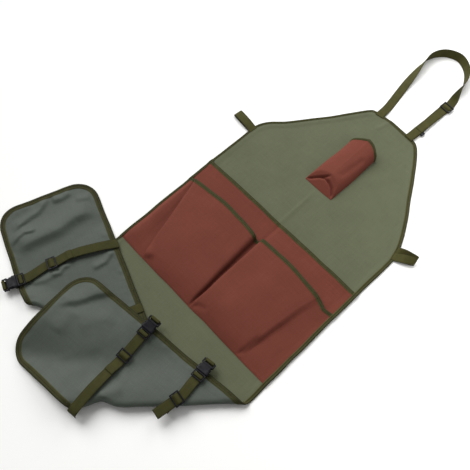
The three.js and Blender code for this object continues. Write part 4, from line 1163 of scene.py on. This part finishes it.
# Lines of their plates across and along the strap, the cells left open, and the rounding of their edges
PLATE_XS = [-16.5, -13.3, 13.3, 16.5]
SLIDER_YS = [-12, -8.8, -2, 2, 8.8, 12]
RING_YS = [-7, -RING_SLOT, RING_SLOT, 7]
TWO_SLOTS = [(1, 1), (1, 3)]
ONE_SLOT = [(1, 1)]
SLIDER_ROUND = 0.8
RING_ROUND = 1.1
BLACK_ACETAL, tree, inputs = new_material("black_acetal", SATIN[0], ACETAL_GLOSS)
spot = add_node(tree, "ShaderNodeTexCoord", out="Object")
grain = add_node(tree, "ShaderNodeTexNoise", {"Vector": spot, "Scale": 1 / (GRAIN * MM), "Detail": 3})
satin = add_node(tree, "ShaderNodeMapRange", {"Value": grain, "To Min": SATIN[0], "To Max": SATIN[1]})
bump = add_node(tree, "ShaderNodeBump", {"Height": grain, "Distance": GRAIN_HEIGHT * MM})
inputs["Base Color"].default_value = linear("#16151a")
inputs["IOR"].default_value = ACETAL_IOR
tree.links.new(satin, inputs["Roughness"])
tree.links.new(bump, inputs["Normal"])


def round_off(bm, edges, rounding):
    bmesh.ops.bevel(bm, geom=edges, offset=rounding, segments=ROUND_STEPS, profile=0.5, affect="EDGES",
                    material=-1)


def ladder(bm, xs, ys, holes, thick, rounding):
    """Moulded plate on a grid of lines, open at the hole cells and rounded at its edges."""
    made = bmesh.ops.create_grid(bm, x_segments=len(xs) - 1, y_segments=len(ys) - 1, size=1)["verts"]
    for index, vert in enumerate(made):
        row, column = divmod(index, len(xs))
        vert.co = (xs[column], ys[row], -thick / 2)
    cells = faces_at(made)
    middles = [Vector((xs[i] + xs[i + 1], ys[j] + ys[j + 1])) / 2 for i, j in holes]
    open_cells = [
        cell for cell in cells
        if any((cell.calc_center_median().xy - middle).length < CELL_NEAR for middle in middles)
    ]
    bmesh.ops.delete(bm, geom=open_cells, context="FACES")
    floor_faces = [face for face in cells if face.is_valid]
    raised = bmesh.ops.extrude_face_region(bm, geom=floor_faces, use_keep_orig=True)["geom"]
    top = [item for item in raised if isinstance(item, bmesh.types.BMVert)]
    bmesh.ops.translate(bm, verts=top, vec=(0, 0, thick))
    plate = faces_at([*made, *top])
    bmesh.ops.recalc_face_normals(bm, faces=plate)
    edges = dict.fromkeys(edge for face in plate for edge in face.edges)
    round_off(bm, [edge for edge in edges if edge.calc_face_angle(0) > BENT], rounding)


def moulding(name, node, shape, frame, height):
    """Black piece, its shape made in its own plane in mm and moved onto a strap's frame at a height."""
    bm = bmesh.new()
    shape(bm)
    at = frame["at"] + frame["off"] * height
    turned = Matrix((frame["across"], frame["along"], frame["off"])).transposed().to_4x4()
    matrix = Matrix.Scale(MM, 4) @ Matrix.Translation(at) @ turned
    bmesh.ops.transform(bm, matrix=matrix, verts=bm.verts)
    piece(bm, name, "black_plastic", [BLACK_ACETAL], node)


def slider_shape(bm):
    ladder(bm, PLATE_XS, SLIDER_YS, TWO_SLOTS, SLIDER_THICK, SLIDER_ROUND)


def ring_shape(bm):
    ladder(bm, PLATE_XS, RING_YS, ONE_SLOT, RING_THICK, RING_ROUND)


slider_frame = floor_frame(NECK_SLIDER, NECK_RING, NECK_LIE)
moulding("neck_slider_body", "neck_slider", slider_shape, slider_frame, SLIDER_MID)
ring_at = (NECK_RING[0] + RING_ASIDE, NECK_RING[1])
ring_to = (NECK_SLIDER[0] + RING_ASIDE, NECK_SLIDER[1])
moulding("neck_ring_body", "neck_ring", ring_shape, floor_frame(ring_at, ring_to, NECK_LIE), RING_MID)

# Belt loops: webbing doubled over and sewn to the waist corners. The left one lies flat, the right one
# stands open, its two ends side by side.
# Columns: reach from the edge, way aside along it, height, lean in degrees
LEFT_LOOP = [
    (-6, 0, 1.2, 0), (10, 0, 0.95, 0), (22, 0, 0.95, 0), (56, 0, 0.95, 0), (63, 0, 1.4, 0), (65.6, 0, 3.6, 0),
    (63, 0, 6.2, 0), (56, 0, 8.2, 0), (22, 0, 8, 0), (10, 0, 5.7, 0), (-6, 0, 3.2, 0),
]
RIGHT_LOOP = [
    (-6, -4, 3.4, 0), (4, -4, 4.6, 6), (16, -1, 8.5, 12), (32, 4, 10.5, 17), (43, 7.5, 11, 24),
    (48.5, 9.5, 10.5, 33), (49.5, 11, 11, 39), (46, 12.5, 11.5, 44), (35, 13, 11.5, 47), (18, 12.5, 11.2, 46),
    (6, 11, 8.5, 32), (-5, 10, 4.4, 8),
]
for name, root, outward, rows in (
    ("left_loop", (-263, 151), (-38, 4), LEFT_LOOP),
    ("right_loop", (261, 151), (38, 8), RIGHT_LOOP),
):
    out = Vector((*outward, 0)).normalized()
    aside = UP.cross(out)
    places = [Vector((*root, height)) + out * reach + aside * way for reach, way, height, lean in rows]
    stations = []
    for i, (reach, way, height, lean) in enumerate(rows):
        across = aside * math.cos(math.radians(lean)) + UP * math.sin(math.radians(lean))
        before, after = around(places, i)
        stations.append((places[i], across, across.cross(after - before).normalized()))
    webbing(name + "_webbing", name, OLIVE_WEBBING, stations)

# Leg straps: webbing sewn to the coated side of each leg, through a slider, around the middle bar of a
# closed side-release buckle and back, with a hemmed tail. A short sewn tab holds the buckle's other half.
# The leg straps' webbing is the olive webbing darkened: painted shade for the dimmer light on the folded legs
LEG_WEBBING_PAINTED_SHADE = woven_band("leg_webbing_painted_shade", "#3b3a18", "#323112", **WEB_WEAVE)
OVER_COATING = 0.6
STRAP_LIFT = 2.8
BUCKLE_LIFT = 4.0
ARCH = 5.0
TAIL_ARCH = 4.0
STATION_STEP = 14
SLIDER_CLEAR = 22
# Half the length over which the leg below a strap, a slider and a buckle is levelled out
STRAP_LEVEL = 6
SLIDER_LEVEL = 14
BUCKLE_LEVEL = 20
# Ends of the straps and runs through slider and buckle. Columns: way along the strap, height
OVER_ROLL = [(-46, -17), (-45, -10), (-42, -5), (-36, -1.2), (-27, 0)]
UNDER_ROLL = [(-36, -19), (-34.5, -12), (-31, -6), (-25, -1.5), (-18, 0)]
OVER_EDGE = [(-2.6, -4.8), (-2.6, -2.6), (-1.6, -0.6), (1, 0)]
UNDER_SLIDER = [(-14, 0), (14, 0)]
BAR_LOOP = [
    (-12, 0), (8, 0), (11.2, 0.5), (12.9, 2.4), (13.05, 4.7), (12.4, 6.8), (10.8, 7.5), (7.2, 7.5),
    (5.9, 6.8), (4.6, 2.9), (3, LAYER), (-12, LAYER),
]
# The tail's end is folded back on itself and sewn
HEM_FOLD = [(-2, 0.2), (-2.8, 0.95), (-2, 1.7), (0, 1.9), (10, 1.9)]
HEM_LEAD = 4
# Sewn ends of the tabs. Columns: way inside the leg's outer edge, lift
ON_LEG = [(24, 0), (18, 0), (13, 0)]
AT_EDGE = [(-1.7, -1.6), (-4, -1.6)]
TAB_RISE = 6.0
# Height up the flat leg, sideways bow, and ways inside the leg's outer edge. A turn is in degrees
STRAPS = {
    "a": dict(leg=RIGHT_LEG, y=-673, bow=0, buckle=36, slider=94, tail=50, root=222, hook=OVER_ROLL,
              sewn=ON_LEG, turn=0),
    "b": dict(leg=RIGHT_LEG, y=-505, bow=-7, buckle=30, slider=90, tail=56, root=90, hook=UNDER_ROLL,
              sewn=ON_LEG, turn=-16),
    "c": dict(leg=LEFT_LEG, y=-692, bow=-17, buckle=21, slider=95, tail=52, root=262.5, hook=OVER_EDGE,
              sewn=AT_EDGE, turn=0),
}
# Buckle: thickness of its halves and of the bar at its end, and where along the strap the bar lies
MALE_THICK = 3.6
FEMALE_THICK = 9
END_THICK = 4
END_FROM = 45.2
SLOT_TO = 49.5
END = 53.5
BUCKLE_MID = LAYER + MALE_THICK / 2 + GAP + WEB / 2
UNDER_FEMALE = FEMALE_THICK / 2 + GAP + WEB / 2


def strap_frame(strap, inside, lift, level=STRAP_LEVEL):
    """Frame on a leg strap on the coated side of its leg, a way inside the leg's outer edge."""
    leg, side = strap["leg"], strap["leg"]["side"]
    x = side * (HALF_WIDTH - inside)
    y = strap["y"] + strap["bow"] * math.sin(math.pi * inside / HALF_WIDTH)
    along = (lay_leg(leg, x + side * level, y) - lay_leg(leg, x - side * level, y)).normalized()
    off = along.cross(lay_leg(leg, x, y + level) - lay_leg(leg, x, y - level)).normalized() * -side
    return mounted(lay_leg(leg, x, y) + off * (OVER_COATING + GAP + WEB / 2 + lift), along, off)


def on_flap(strap, start, end, lift):
    """Stations of a strap lying on its leg, from start up to, but not with, end."""
    count = max(0, round((start - end) / STATION_STEP))
    stations = []
    for i in range(count):
        inside = lerp(start, end, i / count)
        share = (inside - strap["slider"]) / max(strap["root"] - strap["slider"], 1)
        stations.append(station(strap_frame(strap, inside, lift + ARCH * math.sin(math.pi * share))))
    return stations


def strap_stations(strap, slider, buckle):
    """Stations of a strap from its hooked end, around the buckle's bar and back to its hemmed tail."""
    past = strap["slider"] + strap["tail"]
    clear = strap["slider"] + SLIDER_CLEAR
    root = slider
    if strap["root"] != strap["slider"]:
        root = strap_frame(strap, strap["root"], STRAP_LIFT, SLIDER_LEVEL)
    stations = [
        *path_stations(root, strap["hook"]),
        *on_flap(strap, strap["root"] - STATION_STEP, clear, STRAP_LIFT),
        *path_stations(slider, UNDER_SLIDER),
        *path_stations(buckle, BAR_LOOP),
        *path_stations(slider, SLIDER_RUN[::-1]),
    ]
    if strap["root"] > past:
        tail = on_flap(strap, past, clear, STRAP_LIFT + LAYER)[::-1]
        stations += [(at, across, -off) for at, across, off in tail]
        return stations + path_stations(strap_frame(strap, past, STRAP_LIFT + LAYER + TAIL_ARCH), HEM_FOLD)
    fold = [(y - strap["tail"], z + LAYER) for y, z in HEM_FOLD]
    return stations + path_stations(
        slider, [(HEM_LEAD - strap["tail"], LAYER), (-strap["tail"], LAYER), *fold])


def tab_stations(strap, buckle):
    """Stations of a tab from its sewn end, around the bar of the buckle's female half."""
    half = END_THICK / 2
    frame = dict(buckle, at=buckle["at"] + buckle["off"] * BUCKLE_MID)
    sewn = [station(strap_frame(strap, inside, lift)) for inside, lift in strap["sewn"]]
    return sewn + path_stations(frame, [
        (strap["buckle"] - strap["sewn"][-1][0] + TAB_RISE, -UNDER_FEMALE),
        (END_FROM, -UNDER_FEMALE),
        (SLOT_TO, -half - CORNER - GAP),
        *bar_turn(END, half, -1)[::-1],
        *bar_turn(SLOT_TO, half, 1)[:3],
        (SLOT_TO - CORNER, -0.6),
    ])


# Side-release buckle. The male half is a ladder of bars with a centre tongue and two sprung arms with barbs.
# Columns: across, along, how much thinner than the bars, rounding
BUCKLE_ROUND = 0.9
MALE_XS = [-16, -13.3, 13.3, 16]
MALE_YS = [0, 3, 7, 11, 15.4, 19.2]
MALE_BLOCKS = [
    ((-3, 3), (18.6, 38), 0.2, 0.5),
    ((-12.3, -8), (18.6, 39), 0.1, 0.5),
    ((-16.2, -11.5), (30.4, 37), 0, 1.2),
    ((8, 12.3), (18.6, 39), 0.1, 0.5),
    ((11.5, 16.2), (30.4, 37), 0, 1.2),
]
# The female half is a shell with round edges, waisted where the barbs show, and a slotted bar for the tab.
# Columns: way along the strap, half width, half thickness
FEMALE_ROWS = [
    (19.5, 15.4, 3.7), (19.9, 16.4, 4.2), (21, 17, 4.5), (24, 17, 4.5), (27.5, 17, 4.5), (29.2, 16.4, 4.5),
    (31, 13.8, 4.5), (35, 13.4, 4.5), (39, 13.8, 4.5), (40.8, 16.4, 4.5), (42.5, 17, 4.4), (44, 17, 3.6),
    (44.6, 17, 2.6),
]
FEMALE_STEPS = 3
FEMALE_SIDES = 40
FEMALE_POWER = 0.36
FEMALE_XS = [-17, -13.3, 13.3, 17]
FEMALE_YS = [43.6, 45.1, SLOT_TO, END]
# Sunk field on its faces: from and to along the strap, sloping side, depth
FIELD_ALONG = (23.5, 40)
FIELD_SIDE = (11, 10)
FIELD_DEPTH = 0.4


def block(bm, low, high, rounding):
    """Rounded block between two corners."""
    made = bmesh.ops.create_cube(bm, size=1)["verts"]
    low, high = Vector(low), Vector(high)
    bmesh.ops.scale(bm, verts=made, vec=high - low)
    bmesh.ops.translate(bm, verts=made, vec=(low + high) / 2)
    round_off(bm, list(dict.fromkeys(edge for vert in made for edge in vert.link_edges)), rounding)


def buckle_male(bm):
    half = MALE_THICK / 2
    ladder(bm, MALE_XS, MALE_YS, TWO_SLOTS, MALE_THICK, BUCKLE_ROUND)
    for (left, right), (start, end), thinner, rounding in MALE_BLOCKS:
        block(bm, (left, start, -half + thinner), (right, end, half - thinner), rounding)


def buckle_female(bm):
    rows = spline(FEMALE_ROWS, FEMALE_STEPS)

    def place(row, column):
        y, half_width, half_thick = rows[row]
        turn = 2 * math.pi * column / FEMALE_SIDES
        c, s = math.cos(turn), math.sin(turn)
        x = half_width * math.copysign(abs(c) ** FEMALE_POWER, c)
        z = half_thick * math.copysign(abs(s) ** FEMALE_POWER, s)
        field = smooth(*FIELD_SIDE, abs(x)) if FIELD_ALONG[0] < y < FIELD_ALONG[1] else 0
        return Vector((x, y, z - FIELD_DEPTH * field * math.copysign(1, z))) / MM, (0, 0)

    made = loft(bm, len(rows), FEMALE_SIDES + 1, place)
    bmesh.ops.remove_doubles(bm, verts=made, dist=WELD / MM)
    bmesh.ops.holes_fill(bm, edges=[edge for edge in bm.edges if edge.is_boundary])
    ladder(bm, FEMALE_XS, FEMALE_YS, ONE_SLOT, END_THICK, BUCKLE_ROUND)
    bmesh.ops.recalc_face_normals(bm, faces=bm.faces)


for name, strap in STRAPS.items():
    slider = strap_frame(strap, strap["slider"], STRAP_LIFT, SLIDER_LEVEL)
    spin = Matrix.Rotation(math.radians(strap["turn"]), 3, slider["off"])
    slider = mounted(slider["at"], spin @ slider["along"], slider["off"])
    buckle = strap_frame(strap, strap["buckle"], BUCKLE_LIFT, BUCKLE_LEVEL)
    webbing("leg_strap_" + name, "strap_" + name, LEG_WEBBING_PAINTED_SHADE, strap_stations(strap, slider, buckle))
    webbing("leg_tab_" + name, "tab_" + name, LEG_WEBBING_PAINTED_SHADE, tab_stations(strap, buckle))
    moulding("leg_slider_" + name, "slider_" + name, slider_shape, slider, SLIDER_MID)
    for half, shape in (("male", buckle_male), ("female", buckle_female)):
        moulding(f"leg_buckle_{half}_{name}", f"buckle_{half}_{name}", shape, buckle, BUCKLE_MID)

# The left leg's upper strap: only its sewn end shows beside the other leg, so it ends a little way under
# that leg
HIDDEN_STRAP = dict(leg=LEFT_LEG, y=-510, bow=0)
HIDDEN_LIFT = TAPE + 2 * GAP
HIDDEN_STATIONS = range(190, 263, 12)
hidden = [station(strap_frame(HIDDEN_STRAP, inside, HIDDEN_LIFT)) for inside in HIDDEN_STATIONS]
webbing("leg_strap_d", "strap_d", LEG_WEBBING_PAINTED_SHADE, hidden)

# Studio: a pale matt floor, a broad soft light from the left with two weak fills, and a camera at the
# photo's angle. Places in metres
FLOOR_SIZE = 6
AMBIENT = 0.25
FLOOR, tree, inputs = new_material("pale_floor", roughness=0.9, gloss=0.5)
inputs["Base Color"].default_value = linear("#fafaf8")
bm = bmesh.new()
bmesh.ops.create_grid(bm, x_segments=1, y_segments=1, size=FLOOR_SIZE)
mesh = bpy.data.meshes.new("floor")
bm.to_mesh(mesh)
bm.free()
mesh.materials.append(FLOOR)
floor = add_object("floor", mesh)

world = bpy.data.worlds.new("studio")
world.use_nodes = True
world.node_tree.nodes["Background"].inputs["Color"].default_value = (1, 1, 1, 1)
world.node_tree.nodes["Background"].inputs["Strength"].default_value = AMBIENT
bpy.context.scene.world = world
bpy.context.scene.view_settings.view_transform = "Standard"


def add_light(name, kind, place, target, energy, **settings):
    light = bpy.data.lights.new(name, kind)
    light.energy = energy
    for setting, value in settings.items():
        setattr(light, setting, value)
    made = add_object(name, light)
    made.location = place
    made.rotation_euler = (Vector(target) - Vector(place)).to_track_quat("-Z", "Y").to_euler()


add_light("window", "SUN", place=(-0.76, 0.18, 0.62), target=(0, 0, 0), energy=3.05, angle=math.radians(42))
add_light("bib fill", "AREA", place=(-0.5, 1.4, 1.05), target=(0, 0.25, 0), energy=18, size=1.2)
add_light("side fill", "AREA", place=(0.7, 0.4, 0.4), target=(0.05, 0.22, 0), energy=2.0, size=0.4)

CAMERA_TARGET = Vector((-62.75, -104.72, 0)) * MM
CAMERA_AZIMUTH = 46.42
CAMERA_ELEVATION = 66.48
CAMERA_DISTANCE = 1587.2 * MM
FOCAL_PIXELS = 616
IMAGE_PIXELS = 470
SENSOR = 36
azimuth, elevation = math.radians(CAMERA_AZIMUTH), math.radians(CAMERA_ELEVATION)
back = Vector((math.sin(azimuth) * math.cos(elevation), -math.cos(azimuth) * math.cos(elevation),
               math.sin(elevation)))
lens = bpy.data.cameras.new("camera")
lens.sensor_width = SENSOR
lens.lens = SENSOR * FOCAL_PIXELS / IMAGE_PIXELS
camera = add_object("camera", lens)
camera.location = CAMERA_TARGET + back * CAMERA_DISTANCE
camera.rotation_euler = (-back).to_track_quat("-Z", "Y").to_euler()
bpy.context.scene.camera = camera
